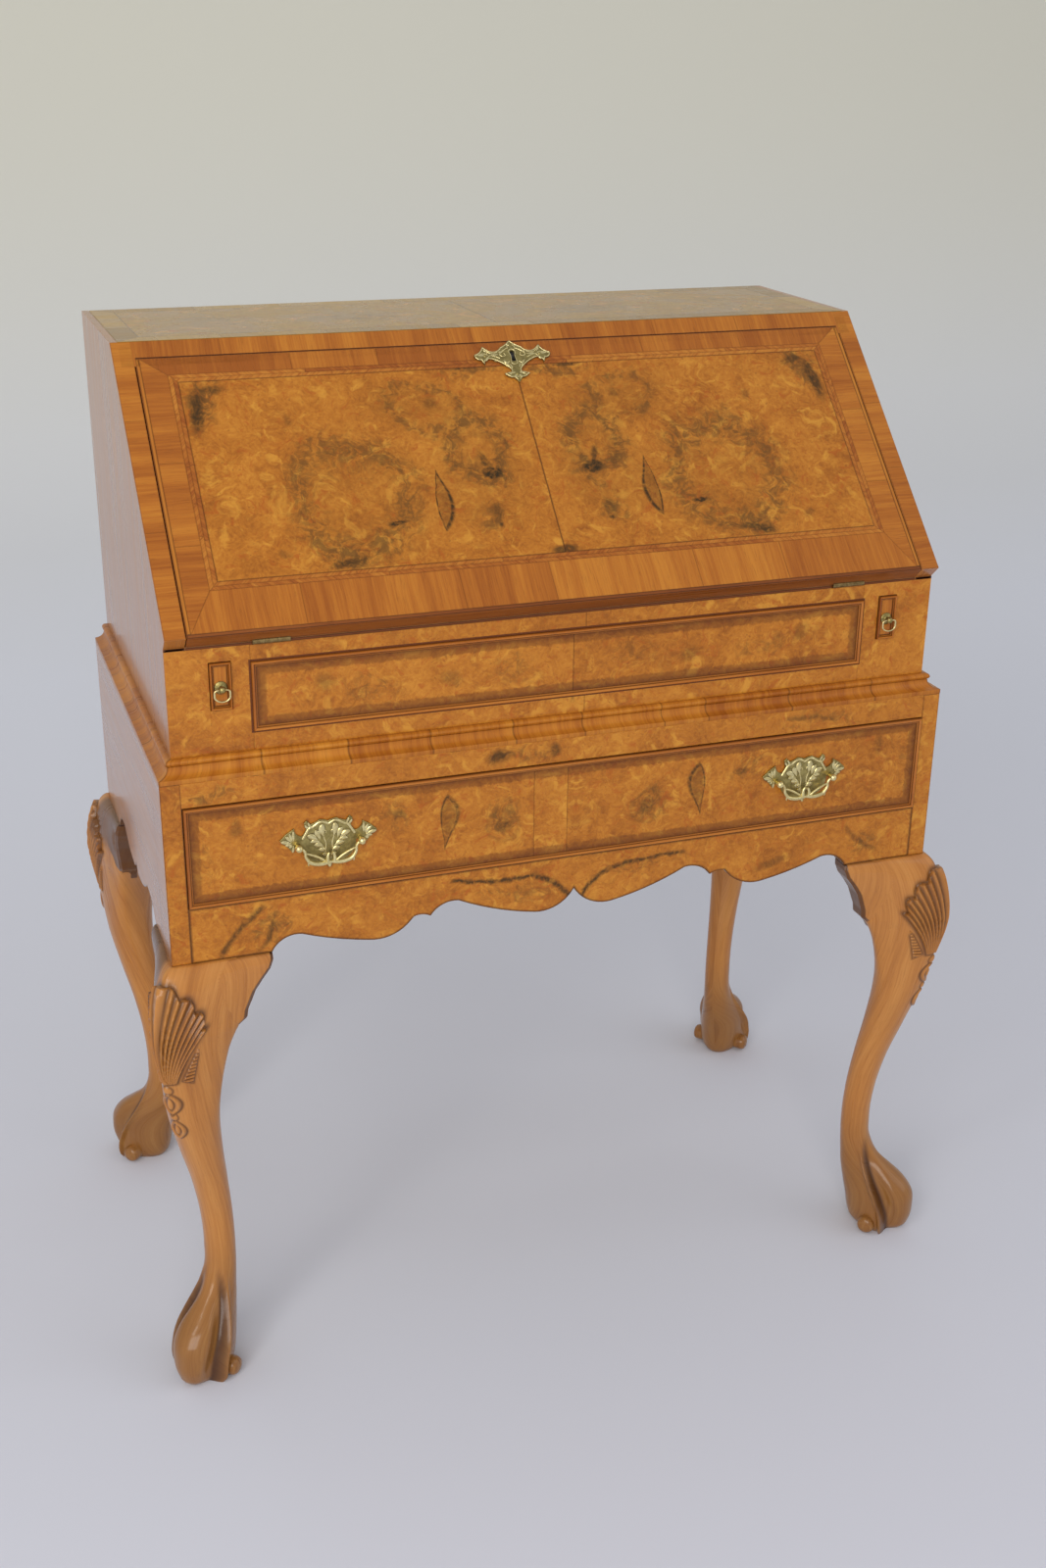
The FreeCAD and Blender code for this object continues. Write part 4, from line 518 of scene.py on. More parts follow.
def softenEdges(bm, edge):
    bmesh.ops.dissolve_limit(bm, angle_limit=math.radians(1.5), verts=bm.verts, edges=bm.edges)
    chosen = []
    for rim in bm.edges:
        if len(rim.link_faces) == 2 and rim.calc_length() > edge * 6:
            if rim.calc_face_angle() > math.radians(35):
                chosen.append(rim)
    if chosen:
        bmesh.ops.bevel(bm, geom=chosen, offset=edge, offset_type="OFFSET", segments=2, profile=0.5,
                        affect="EDGES", clamp_overlap=True)
    bmesh.ops.dissolve_degenerate(bm, dist=1e-6, edges=bm.edges)
    cutLargeFaces(bm)


def softCopy(node, finish, grain, edge=0.0006, sunk=()):
    # the CAD form with eased edges; a sunk face makes room for its veneer
    bm = cadMesh(node)
    for normal, level in sunk:
        normal = Vector(normal)
        if level is None:
            level = max(vert.co.dot(normal) for vert in bm.verts)
        for vert in [v for v in bm.verts if abs(v.co.dot(normal) - level) < flush]:
            vert.co -= normal * leafThick
    if edge:
        softenEdges(bm, edge)
    grainMap(bm, grain)
    body = body_of(nodes[node])[0]
    addPiece("look_" + node, bm, finish, body, nodeSlots.get(node), (node,), even=True)


def anticlockwise(points):
    area = sum(a.x * b.y - b.x * a.y for a, b in zip(points, points[1:] + points[:1]))
    return points[::-1] if area < 0 else points


def insetPolygon(points, distance):
    made = []
    for i, here in enumerate(points):
        first = (here - points[i - 1]).normalized()
        second = (points[(i + 1) % len(points)] - here).normalized()
        inward = Vector((-first.y, first.x)) + Vector((-second.y, second.x))
        reach = max(1.0 + first.dot(second), 0.5)
        made.append(here + inward * (distance / reach))
    return made


def ringFaces(rings, ends=True):
    # the faces between closed rings, and then the two ends
    made = []
    for low, high in zip(rings, rings[1:]):
        for i in range(len(low)):
            j = (i + 1) % len(low)
            made.append((low[i], low[j], high[j], high[i]))
    return made + [tuple(rings[-1]), tuple(reversed(rings[0]))] if ends else made


def fillRings(bm, rings):
    for corners in ringFaces(rings):
        bm.faces.new(corners)


def fillMapped(bm, rings, tone):
    # rings of pairs: a vertex and its place on the grain map
    uvLayer, toneLayer = layer(bm, "grain"), layer(bm, "tone")
    for corners in ringFaces(rings):
        face = bm.faces.new([vert for vert, uv in corners])
        face[toneLayer] = tone
        for loop, (vert, uv) in zip(face.loops, corners):
            loop[uvLayer].uv = uv


# One thin leaf of veneer: a slab with a fine chamfer and a dark joint round it
def veneerLeaf(bm, outline, place, grain, tone, uvAt=(0.0, 0.0), joint=0.0011, strength=1.0):
    jointLayer = layer(bm, "joint")
    points = anticlockwise([Vector(p) for p in outline])
    along = Vector((math.cos(grain), math.sin(grain)))
    across = Vector((-along.y, along.x))
    steps = ((0.0, -leafThick, strength), (0.0, -chamfer, strength),
             (chamfer, 0.0, strength), (joint, 0.0, 0.0))
    rings = []
    for inset, height, dark in steps:
        ring = []
        for spot in insetPolygon(points, inset):
            vert = bm.verts.new(place(spot.x, spot.y, height))
            vert[jointLayer] = dark
            flat = Vector((spot.x + uvAt[0], spot.y + uvAt[1]))
            ring.append((vert, (flat.dot(along), flat.dot(across))))
        rings.append(ring)
    fillMapped(bm, rings, tone)


def rectangle(x0, y0, x1, y1):
    return [(x0, y0), (x1, y0), (x1, y1), (x0, y1)]


def grownBox(box, amount):
    return (box[0] - amount, box[1] - amount, box[2] + amount, box[3] + amount)


def stripCuts(start, end, count):
    step = (end - start) / count
    cuts = [start + step * (i + chance.uniform(-0.22, 0.22)) for i in range(1, count)]
    return [start, *cuts, end]


def crossFrame(bm, place, inner, outer, counts, grains, tones=0.8, shifts=(0.0, 0.0, 0.0, 0.0)):
    # mitred strips between two boxes (x0, y0, x1, y1): low, high, left and right
    # counts and grains hold one for low and high, and one for left and right
    x0, y0, x1, y1 = inner
    a0, b0, a1, b1 = outer
    sides = (
        ((a0, b0), (a1, b0), (x0, y0), (x1, y0)), ((a0, b1), (a1, b1), (x0, y1), (x1, y1)),
        ((a0, b0), (a0, b1), (x0, y0), (x0, y1)), ((a1, b0), (a1, b1), (x1, y0), (x1, y1)),
    )
    for k, corners in enumerate(sides):
        outStart, outEnd, inStart, inEnd = [Vector(corner) for corner in corners]
        run, inRun = outEnd - outStart, inEnd - inStart
        count = counts[k // 2]
        cuts = stripCuts(0.0, 1.0, count)
        insides = [inStart]
        for share in cuts[1:-1]:
            ahead = (outStart + run * share - inStart).dot(run.normalized()) / inRun.length
            insides.append(inStart + inRun * min(1.0, max(0.0, ahead)))
        insides.append(inEnd)
        for i in range(count):
            outline = [outStart + run * cuts[i], outStart + run * cuts[i + 1], insides[i + 1], insides[i]]
            tone = shifts[k] + chance.uniform(-tones, tones)
            uvAt = (i * 0.37 * run.length, 0.11 * i)
            veneerLeaf(bm, outline, place, grains[k // 2], tone, uvAt, 0.0009, 0.45)


# Boards that keep the CAD form, with eased edges
boards = {
    "inner": {
        "x": ["pigeonhole_shelves", "pigeonhole_valances", "well_cover"],
        "z": ["pigeonhole_dividers", "fall_stops"],
    },
    "oak": {
        "x": ["case_bottom", "case_back", "stand_back_rail", "drawer_back", "drawer_bottom"],
        "y": ["loper_partitions", "loper_runners", "drawer_runners", "drawer_sides"],
    },
    "apronBurr": {"x": ["stand_top_rail"]},
}
for finish, groups in boards.items():
    for axis, names in groups.items():
        for name in names:
            softCopy(name, finish, axis)


def scallopedBoard(node, finish, grain, outward, top):
    # the outer face gets a dark line along its cut edge, below the height top
    bm = cadMesh(node)
    softenEdges(bm, 0.0006)
    bm.normal_update()
    outward = Vector(outward)
    level = max(vert.co.dot(outward) for vert in bm.verts) - 1e-5
    facing = [face for face in bm.faces if face.normal.dot(outward) > 0.999]
    facing = [face for face in facing if max(vert.co.dot(outward) for vert in face.verts) > level]
    made = bmesh.ops.dissolve_faces(bm, faces=facing, use_verts=False)["region"]
    cutLayer = layer(bm, "cut")
    for vert in bm.verts:
        vert[cutLayer] = 1.0 if vert.co.z < top else 0.0
    bmesh.ops.inset_region(bm, faces=made, thickness=darkEdge, use_even_offset=True, use_boundary=True)
    for face in made:
        for vert in face.verts:
            vert[cutLayer] = 0.0
    cutLargeFaces(bm)
    grainMap(bm, grain)
    addPiece("look_" + node, bm, finish, "case", nodeSlots.get(node), (node,), even=True)


frontward = (0, -1, 0)
slopeward = (0, -0.70561, 0.70860)
frontLevel = 0.2
scallopedBoard("front_apron", "apronBurr", "x", frontward, 1.0)
scallopedBoard("stand_side_left", "veneer", "y", (-1, 0, 0), 0.54)
scallopedBoard("stand_side_right", "veneer", "y", (1, 0, 0), 0.54)
softCopy("fall_board", "noseband", "x", 0.0006, [(slopeward, None)])
softCopy("front_panel", "noseband", "x", 0.0004, [(frontward, None)])
softCopy("drawer_front", "noseband", "x", 0.0004, [(frontward, None)])
softCopy("fall_leather", "leather", "x", 0.0003)
softCopy("writing_bed", "inner", "x", 0.0004, [(frontward, None)])
softCopy("case_top", "topVeneer", "x", 0.0004, [(slopeward, None), (axes["z"], None)])
for side in ("left", "right"):
    softCopy("case_side_" + side, "veneer", "z", 0.0004, [(frontward, frontLevel), (slopeward, None)])
    softCopy("loper_" + side, "bead", "y", 0.0004, [(frontward, None)])
    softCopy("small_drawer_" + side, "inner", "x", 0.0)
for name in ("bed_hinge_leaves", "bed_hinge_screws", "hinge_pins", "lock_strike_plate", "fall_hinge_leaves",
             "fall_hinge_screws", "fall_lock_case"):
    softCopy(name, "brassDull", "x", 0.0002)
softCopy("lock_bolt", "steel", "x", 0.0003)
print("boards done")


# Veneers of the fall; the first number runs along x and the second up the slope from the hinge
fallVeneer = {
    "slope": math.radians(44.8788), "thick": 0.016, "halfWidth": 0.3622, "length": 0.2921, "gap": 0.0004,
    "nose": 0.0040, "field": (0.327, 0.053, 0.263), "feather": 0.008, "lip": 0.0036, "seam": 0.0013,
}
hingeAt = Vector(joints["fall_hinge"]["pos_m"])
upSlope = Vector((0.0, math.cos(fallVeneer["slope"]), math.sin(fallVeneer["slope"])))
offSlope = Vector((0.0, -upSlope.z, upSlope.y))


def onSlope(level, start=0.0):
    def place(x, along, height):
        return Vector((x, 0.0, 0.0)) + hingeAt + upSlope * (start + along) + offSlope * (level + height)
    return place


chance = random.Random(11)
onFall = onSlope(fallVeneer["thick"])
halfField, lowField, highField = fallVeneer["field"]
feather, gap, lip = fallVeneer["feather"], fallVeneer["gap"], fallVeneer["lip"]
edgeX, edgeLow, edgeHigh = fallVeneer["halfWidth"] - gap, fallVeneer["nose"], fallVeneer["length"] - gap
lipHigh = edgeHigh - lip * 0.5
fieldBox = (-halfField, lowField, halfField, highField)
middleBox, featherBox = grownBox(fieldBox, feather / 2), grownBox(fieldBox, feather)
outerBox = (-edgeX + lip, edgeLow, edgeX - lip, lipHigh)
bm = bmesh.new()
for low, high, tone in ((-halfField, 0.0, 0.03), (0.0, halfField, -0.03)):
    veneerLeaf(bm, rectangle(low, lowField, high, highField), onFall, 0.0, tone, joint=fallVeneer["seam"])
addPiece("fall_field", bm, "fallBurr", "fall", "burr_walnut")
bm = bmesh.new()
for inner, outer, turn in ((fieldBox, middleBox, 1), (middleBox, featherBox, -1)):
    grains = (turn * math.pi / 4, quarterTurn + turn * math.pi / 4)
    crossFrame(bm, onFall, inner, outer, (5, 5), grains, 0.5)
addPiece("fall_feather", bm, "feather", "fall", "burr_walnut")
bm = bmesh.new()
crossFrame(bm, onFall, featherBox, outerBox, (6, 3), (quarterTurn, 0.0), shifts=(0.0, -0.9, 0.0, 0.0))
addPiece("fall_crossband", bm, "crossband", "fall", "burr_walnut")
bm = bmesh.new()
veneerLeaf(bm, rectangle(-edgeX, gap, edgeX, edgeLow), onFall, 0.0, 0.0)
veneerLeaf(bm, rectangle(-edgeX, lipHigh, edgeX, edgeHigh), onFall, 0.0, -0.8)
addPiece("fall_nose", bm, "noseband", "fall", "burr_walnut")
bm = bmesh.new()
for low, high in ((-edgeX, -edgeX + lip), (edgeX - lip, edgeX)):
    veneerLeaf(bm, rectangle(low, edgeLow, high, lipHigh), onFall, quarterTurn, 1.0)
addPiece("fall_lip", bm, "crossband", "fall", "burr_walnut")


# Crossgrain strips on the sloping edges of the case, laid where the CAD faces lie
def slopeStrip(bm, node, count, grain, tone):
    spots = [Vector(v.co) - hingeAt for v in nodes[node].data.vertices]
    level = max(spot.dot(offSlope) for spot in spots)
    spots = [spot for spot in spots if spot.dot(offSlope) > level - flush]
    acrosses, alongs = [spot.x for spot in spots], [spot.dot(upSlope) for spot in spots]
    x0, x1 = min(acrosses) + gap, max(acrosses) - gap
    low, high = min(alongs) + gap, max(alongs) - gap
    upright = high - low > x1 - x0
    cuts = stripCuts(low, high, count) if upright else stripCuts(x0, x1, count)
    for i in range(count):
        box = (x0, cuts[i], x1, cuts[i + 1]) if upright else (cuts[i], low, cuts[i + 1], high)
        shade = tone + chance.uniform(-0.6, 0.6)
        veneerLeaf(bm, rectangle(*box), onSlope(level), grain, shade, (0.3 * i, 0.2 * i), 0.0008, 0.35)


bm = bmesh.new()
slopeStrip(bm, "case_side_left", 3, 0.0, 0.2)
slopeStrip(bm, "case_side_right", 3, 0.0, -0.2)
slopeStrip(bm, "case_top", 7, quarterTurn, -0.3)
addPiece("case_slope_bands", bm, "crossband", "case", "walnut_veneer")


# Top board: a burr field inside a crossgrain border
topVeneers = {"border": 0.022, "gap": 0.0005}
topLow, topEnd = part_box("case_top")
ridgeY = min(v.co.y for v in nodes["case_top"].data.vertices if v.co.z > topEnd[2] - flush)


def onTop(x, y, height):
    return Vector((x, y, topEnd[2] + height))


outerTop = grownBox((topLow[0], ridgeY, topEnd[0], topEnd[1]), -topVeneers["gap"])
innerTop = grownBox(outerTop, -topVeneers["border"])
bm = bmesh.new()
crossFrame(bm, onTop, innerTop, outerTop, (7, 2), (quarterTurn, 0.0))
addPiece("top_border", bm, "topVeneer", "case", "walnut_veneer")
bm = bmesh.new()
for low, high, tone in ((innerTop[0], 0.0, 0.1), (0.0, innerTop[2], -0.1)):
    veneerLeaf(bm, rectangle(low, innerTop[1], high, innerTop[3]), onTop, 0.0, tone)
addPiece("top_field", bm, "topBurr", "case", "burr_walnut")
print("fall veneered")


# Veneers that are seen straight on are placed by x and z
def onFront(y, middleX=0.0, middleZ=0.0):
    def place(x, z, height):
        return Vector((middleX + x, y - height, middleZ + z))
    return place


# Beads: mitred lengths with a round, a groove and a fillet; the groove and the bead's feet get painted shade
bead = {
    # across the bead, its height and its darkness, which is painted shade at the feet and in the groove
    "profile": [
        (0.0, -0.2, 1.0), (0.02, 0.42, 0.9), (0.10, 0.78, 0.35), (0.26, 1.0, 0.0), (0.44, 0.97, 0.0),
        (0.58, 0.74, 0.2), (0.66, 0.42, 1.0), (0.72, 0.46, 0.7), (0.84, 0.52, 0.15), (0.95, 0.36, 0.5),
        (1.0, 0.05, 1.0), (1.0, -0.2, 1.0),
    ],
    "width": 0.005, "loperWidth": 0.0035, "shadowRing": (0.0016, -0.001), "shadowRingLift": 0.0001,
}


def beadFrame(node, width, board, body):
    low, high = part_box(node)
    front, back = low[1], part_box(board)[0][1]
    bm = bmesh.new()
    uvLayer, cutLayer, toneLayer = [layer(bm, name) for name in ("grain", "cut", "tone")]
    corners = [(low[0], low[2], 1, 1), (high[0], low[2], -1, 1),
               (high[0], high[2], -1, -1), (low[0], high[2], 1, -1)]
    for k in range(4):
        rails = []
        for x, z, inX, inZ in (corners[k], corners[(k + 1) % 4]):
            rail = []
            for across, rise, dark in bead["profile"]:
                depth = back + (front - back) * rise
                vert = bm.verts.new((x + inX * across * width, depth, z + inZ * across * width))
                vert[cutLayer] = dark
                rail.append(vert)
            rails.append(rail)
        for corner in ringFaces(rails):
            face = bm.faces.new(corner)
            face[toneLayer] = 0.3 - 0.2 * k
            for loop in face.loops:
                x, y, z = loop.vert.co
                loop[uvLayer].uv = (x, z + y) if k % 2 == 0 else (z, x + y)
    addPiece("moulded_" + node, bm, "bead", body, "walnut_bead", (node,), smooth=40, turnOut=True)


beadFrame("front_panel_bead", bead["width"], "front_panel", "case")
panelBox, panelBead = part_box("front_panel"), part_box("front_panel_bead")
beadBox = (panelBead[0][0], panelBead[0][2], panelBead[1][0], panelBead[1][2])
# a dark ring round the panel's bead, set just in front of the face: painted shadow
shadowRingOut, shadowRingIn = [grownBox(beadBox, amount) for amount in bead["shadowRing"]]
bm = bmesh.new()
shadowRingPlace = onFront(panelBox[0][1] - bead["shadowRingLift"])
crossFrame(bm, shadowRingPlace, shadowRingIn, shadowRingOut, (1, 1), (0.0, 0.0), 0.0, (-1.0, -1.0, -1.0, -1.0))
addPiece("panel_bead_shadow", bm, "noseband", "case", "walnut_bead")
beadFrame("drawer_bead", bead["width"], "drawer_front", "drawer")
for side in ("left", "right"):
    beadFrame("loper_bead_" + side, bead["loperWidth"], "loper_" + side, "loper_" + side)


# Veneers of the front panel, of the lopers' faces and of the drawer front
panel = {
    "underBead": 0.003, "gap": 0.0003, "loperGap": 0.0004, "underLoperBead": 0.004, "belowBed": 0.0028,
    "shadow": (0.3626, 0.0022), "shadowEnd": 0.3634, "intoWaist": 0.004, "seam": 0.012, "joint": 0.0009,
    "drawerSeams": (-0.043, -0.009),
}
panelPlace = onFront(panelBox[0][1])
b0, c0, b1, c1 = beadBox
under = panel["underBead"]
bm = bmesh.new()
for low, high, tone in ((b0 + under, 0.0, 0.1), (0.0, b1 - under, -0.1)):
    outline = rectangle(low, c0 + under, high, c1 - under)
    veneerLeaf(bm, outline, panelPlace, 0.0, tone, joint=panel["joint"], strength=0.7)
addPiece("panel_field", bm, "panelField", "case", "burr_walnut")
bm = bmesh.new()
shadow = bmesh.new()
caseSide = nodes["case_side_left"].data.vertices
sideTop = max(v.co.z for v in caseSide if abs(v.co.y + frontLevel) < 2e-4) - gap
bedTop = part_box("writing_bed")[1][2] - panel["belowBed"]
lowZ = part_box("waist_moulding")[1][2] - panel["intoWaist"]
far, near = abs(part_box("case_side_left")[0][0]) - panel["gap"], abs(b0)
shadowX, shadowHigh = panel["shadow"]
outline = rectangle(-shadowX, bedTop, shadowX, bedTop + shadowHigh)
veneerLeaf(shadow, outline, panelPlace, 0.0, -1.0, joint=0.0006)
for sign, side in ((-1, "left"), (1, "right")):
    loperLow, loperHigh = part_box("loper_bead_" + side)
    outX = max(abs(loperLow[0]), abs(loperHigh[0])) + panel["loperGap"]
    inX = min(abs(loperLow[0]), abs(loperHigh[0])) - panel["loperGap"]
    below, over = loperLow[2] - panel["loperGap"], loperHigh[2] + panel["loperGap"]
    around = ((far, outX, lowZ, bedTop), (inX, near, lowZ, bedTop),
              (outX, inX, lowZ, below), (outX, inX, over, bedTop))
    for p0, p1, q0, q1 in around:
        veneerLeaf(bm, rectangle(sign * p0, q0, sign * p1, q1), panelPlace, 0.0, 0.12 * sign, strength=0.0)
    outline = rectangle(sign * panel["shadowEnd"], bedTop, sign * far, sideTop)
    veneerLeaf(shadow, outline, panelPlace, 0.0, -1.0, joint=0.002)
    under = panel["underLoperBead"]
    outline = rectangle(sign * (outX - under), below + under, sign * (inX + under), over - under)
    loperFace = bmesh.new()
    veneerLeaf(loperFace, outline, panelPlace, quarterTurn, 0.5, (0.2 * sign, 0.0), 0.0012, 0.8)
    addPiece("loper_face_" + side, loperFace, "crossband", "loper_" + side, "walnut_bead")
for low, high in ((b0, panel["seam"]), (panel["seam"], b1)):
    for bottom, top, tone in ((lowZ, c0, 0.1), (c1, bedTop, -0.1)):
        outline = rectangle(low, bottom, high, top)
        veneerLeaf(bm, outline, panelPlace, 0.0, tone, joint=panel["joint"], strength=0.6)
addPiece("panel_border", bm, "panelBurr", "case", "burr_walnut")
addPiece("bed_shadow_line", shadow, "noseband", "case", "walnut_veneer")

drawerPlace = onFront(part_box("drawer_front")[0][1])
drawerLow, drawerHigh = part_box("drawer_bead")
under = panel["underBead"]
cuts = (drawerLow[0] + under, *panel["drawerSeams"], drawerHigh[0] - under)
bm = bmesh.new()
for low, high, tone in zip(cuts, cuts[1:], (0.0, 0.35, -0.15)):
    outline = rectangle(low, drawerLow[2] + under, high, drawerHigh[2] - under)
    veneerLeaf(bm, outline, drawerPlace, 0.0, tone, joint=panel["joint"], strength=0.5)
addPiece("drawer_field", bm, "drawerBurr", "drawer", "burr_walnut")
print("front veneered")


# Cabriole legs: sections along the corner diagonal, then carving pushed out of the surface
leg = {
    "corner": (0.396, 0.215), "height": 469.0, "postFrom": 0.4691,
    # share of the height; front, back, place of the widest and half width in mm; front and back power
    "stations": [
        (0, 18.5, -38, -10, 19.5, 2, 2), (0.010, 23.5, -41.5, -10, 22.8, 2, 2),
        (0.030, 27.6, -45, -10, 25.6, 2, 2), (0.066, 29.5, -48.5, -9, 27.5, 2, 2),
        (0.107, 26.5, -53, -12, 26, 2, 2), (0.132, 17, -55.5, -18, 23.5, 2, 2),
        (0.158, 1, -57.5, -28, 20.5, 2, 2), (0.183, -14, -58.5, -36, 18, 2, 2),
        (0.224, -26, -60, -43, 16.2, 2, 2), (0.286, -29.4, -60.9, -45, 15.7, 2, 2),
        (0.365, -27, -59, -43, 15.9, 2, 2), (0.463, -17.5, -52.8, -35, 17.7, 1.95, 2),
        (0.561, -2.5, -45, -25, 21.3, 1.9, 2), (0.650, 11, -39.5, -20, 25.5, 1.75, 2),
        (0.702, 17.5, -38.5, -23, 28, 1.6, 2), (0.736, 21, -39, -26, 29.5, 1.5, 2.2),
        (0.770, 25, -41, -29, 32, 1.42, 2.3), (0.804, 28, -45, -33, 35, 1.35, 2.2),
        (0.832, 29.4, -52, -38, 39, 1.28, 1.9), (0.850, 29.5, -62, -41, 42, 1.25, 1.5),
        (0.880, 27.5, -76, -42.4, 42.4, 1.22, 1.2), (0.920, 22, -83, -42.4, 42.4, 1.18, 1.1),
        (0.965, 12.5, -84.8, -42.4, 42.4, 1.12, 1.06), (1, 0, -84.8, -42.4, 42.4, 1.06, 1.06),
    ],
    # runs of rows up the leg and of columns round half of it, as end and count
    "rows": ((118, 76), (272, 34), (346, 66), (402, 92), (455, 50), (469, 24)),
    "columns": ((0.50, 88), (1.0, 22)),
    "shell": {"centre": 350.0, "base": 9.5, "flare": 42.0, "bend": 64.0, "reach": 102.0, "drop": 47.0,
              "ribs": 8.5, "rise": 3.2, "flute": 2.9},
    "leaf": {"turn": 27.0, "half": 5.2, "start": 15.4, "long": 37.0, "aside": 17.0, "rib": 3.6},
    "shoulder": 5.0,
    "husks": [
        {"kind": "bud", "z": 348.5, "size": (5.5, 5.0)}, {"kind": "husk", "z": 332.0, "size": (10.0, 13.0)},
        {"kind": "bud", "z": 315.5, "size": (4.5, 4.5)}, {"kind": "husk", "z": 299.0, "size": (8.0, 12.0)},
    ],
    "boss": {"along": -14.0, "aside": 22.0, "z": 0.0106, "radius": 0.0098, "length": 0.0148},
    # the post's face box, and the strength of the painted shade on the knees' outward sides
    "postFace": (0.3778, 0.4694, 0.3957, 0.6486), "paintedSideShade": 0.84,
}
diagonal = math.sqrt(0.5)


def spaced(start, runs):
    # evenly spaced numbers, each run going on from the last
    made = np.array([float(start)])
    for end, count in runs:
        made = np.concatenate([made, np.linspace(made[-1], end, count)[1:]])
    return made


def easeBetween(t, start, startSlope, end, endSlope=0.0):
    first = (1 + 2 * t) * (1 - t) ** 2 * start + t * (1 - t) ** 2 * startSlope
    return first + t * t * (3 - 2 * t) * end + t * t * (t - 1) * endSlope


def smoothTrack(xs, ys, x):
    slopes = np.gradient(ys, xs)
    i = np.clip(np.searchsorted(xs, x) - 1, 0, len(xs) - 2)
    step = xs[i + 1] - xs[i]
    return easeBetween((x - xs[i]) / step, ys[i], slopes[i] * step, ys[i + 1], slopes[i + 1] * step)


def softStep(x, low, high):
    t = np.clip((x - low) / (high - low), 0.0, 1.0)
    return t * t * (3 - 2 * t)


def bell(x, middle, wide):
    return np.exp(-((x - middle) / wide) ** 2)


def shoulderOf(z):
    # the knee swells out just under the boards
    down = np.clip(leg["height"] - z, 0.0, None)
    curl = 1 - (1 - np.clip(down / 12.0, 0, 1)) ** 2
    return leg["shoulder"] * np.sqrt(np.clip(curl, 0, 1)) * softStep(down, 78.0, 18.0)


def carveKnee(p, z):
    # p runs round the leg from its ridge and z is the height, both in mm; gives push and the painted shade in
    # the carving's grooves and round its edges
    form = leg["shell"]
    rise = z - form["centre"]
    wide = form["base"] + form["flare"] * (np.clip(rise, 0.0, 130.0) / form["bend"]) ** 1.3
    rib = np.abs(p / wide)
    count = form["ribs"] * rib ** 0.82
    crest = np.abs((count + 0.5) % 1.0 - 0.5) * 2
    lobe = np.abs(np.sin(count / 2.7 * math.pi + 0.6))
    edge = form["reach"] - form["drop"] * rib + 5.5 * lobe - 2.5
    room = np.minimum(edge - rise, (1.0 - rib) * wide)
    inside = softStep(room, -0.7, 0.8) * softStep(rise, 5.0, 7.0)
    ridge = np.clip(1 - crest, 0.0, 1.0) ** 1.35
    flute = form["flute"] * np.clip(wide / 40.0, 0.35, 1.0)
    relief = form["rise"] * softStep(rise, 6.0, 60.0) + 0.9
    push = inside * (relief + flute * (ridge - 0.6))
    deep = np.clip(wide / 34.0, 0.45, 1.0)
    paintedShade = inside * deep * np.clip(0.92 * (1 - ridge) ** 1.3, 0, 1)
    # painted shadow in the sunk ground round the shell
    outside = bell(np.maximum(-room, 0.0), 0.0, 3.6) * (1 - inside) * softStep(rise, 2.0, 6.0)
    push = push - 0.8 * outside
    paintedShade = np.maximum(paintedShade, 0.95 * outside)
    # a tapering leaf with cross ribs stands beside each lower side of the shell
    form = leg["leaf"]
    turn = np.radians(form["turn"])
    along = np.abs(p) * np.sin(turn) + rise * np.cos(turn)
    away = np.abs(p) * np.cos(turn) - rise * np.sin(turn)
    half = form["half"] * np.clip(1 - (along - form["start"]) / form["long"], 0.0, 1.0) ** 0.75
    room = np.minimum(half - np.abs(away - form["aside"]), along - 15.0)
    leaf = softStep(room, -0.4, 0.7) * (1 - inside)
    cross = np.abs((rise / form["rib"]) % 1.0 - 0.5) * 2
    push = np.where(leaf > 0.02, leaf * (1.6 + 1.3 * (cross - 0.6)), push)
    paintedShade = np.maximum(paintedShade * (1 - leaf), leaf * 0.95 * (1 - cross) ** 1.4)
    rim = bell(np.maximum(-room, 0.0), 0.0, 1.8) * (1 - leaf)
    rim = rim * softStep(along, 12.0, 14.0) * softStep(along, 50.0, 44.0)
    paintedShade = np.maximum(paintedShade, 0.85 * rim * (1 - inside))
    for item in leg["husks"]:
        wide, tall = item["size"]
        up = (z - item["z"]) / tall
        if item["kind"] == "bud":
            far = np.hypot(p / wide, up)
            push = np.where(far < 1.0, 2.1 * np.sqrt(np.clip(1 - far ** 2, 0, 1)), push)
            paintedShade = np.maximum(paintedShade, 0.8 * bell(far, 1.12, 0.2))
        else:
            lens = np.abs(p) / wide + up ** 2
            heart = softStep(np.hypot(p / (wide * 0.38), (up + 0.1) / 0.55), 1.0, 0.4)
            push = np.where(lens < 1.25, 2.2 * bell(lens, 0.78, 0.22) + 1.6 * heart, push)
            paintedShade = np.maximum(paintedShade, 0.95 * bell(lens, 0.42, 0.14) * (1 - heart))
            paintedShade = np.maximum(paintedShade, 0.95 * bell(lens, 1.18, 0.18))
    return push, paintedShade


def shapeFoot(s, t, z):
    # two tendons run down the sides of the foot and leave a groove before the toe; the second result is the
    # painted shade in that groove
    ahead = s - (-30.0 + 34.0 * softStep(z, 105.0, 12.0))
    aside = softStep(np.abs(t), 3.0, 9.0)
    fade = softStep(z, 118.0, 80.0) * aside
    groove = softStep(ahead, -0.6, 1.8) * softStep(ahead, 24.0, 6.0)
    squeeze = 1 - 0.26 * groove * fade
    swell = (2.4 + 5.0 * softStep(z, 95.0, 34.0)) * bell(ahead, -2.2, 2.7) * fade
    flare = 5.0 * bell(ahead, -9.0, 9.0) * softStep(z, 34.0, 8.0) * aside
    return t * squeeze + np.sign(t) * (swell + flare), fade * bell(ahead, 1.6, 2.4)


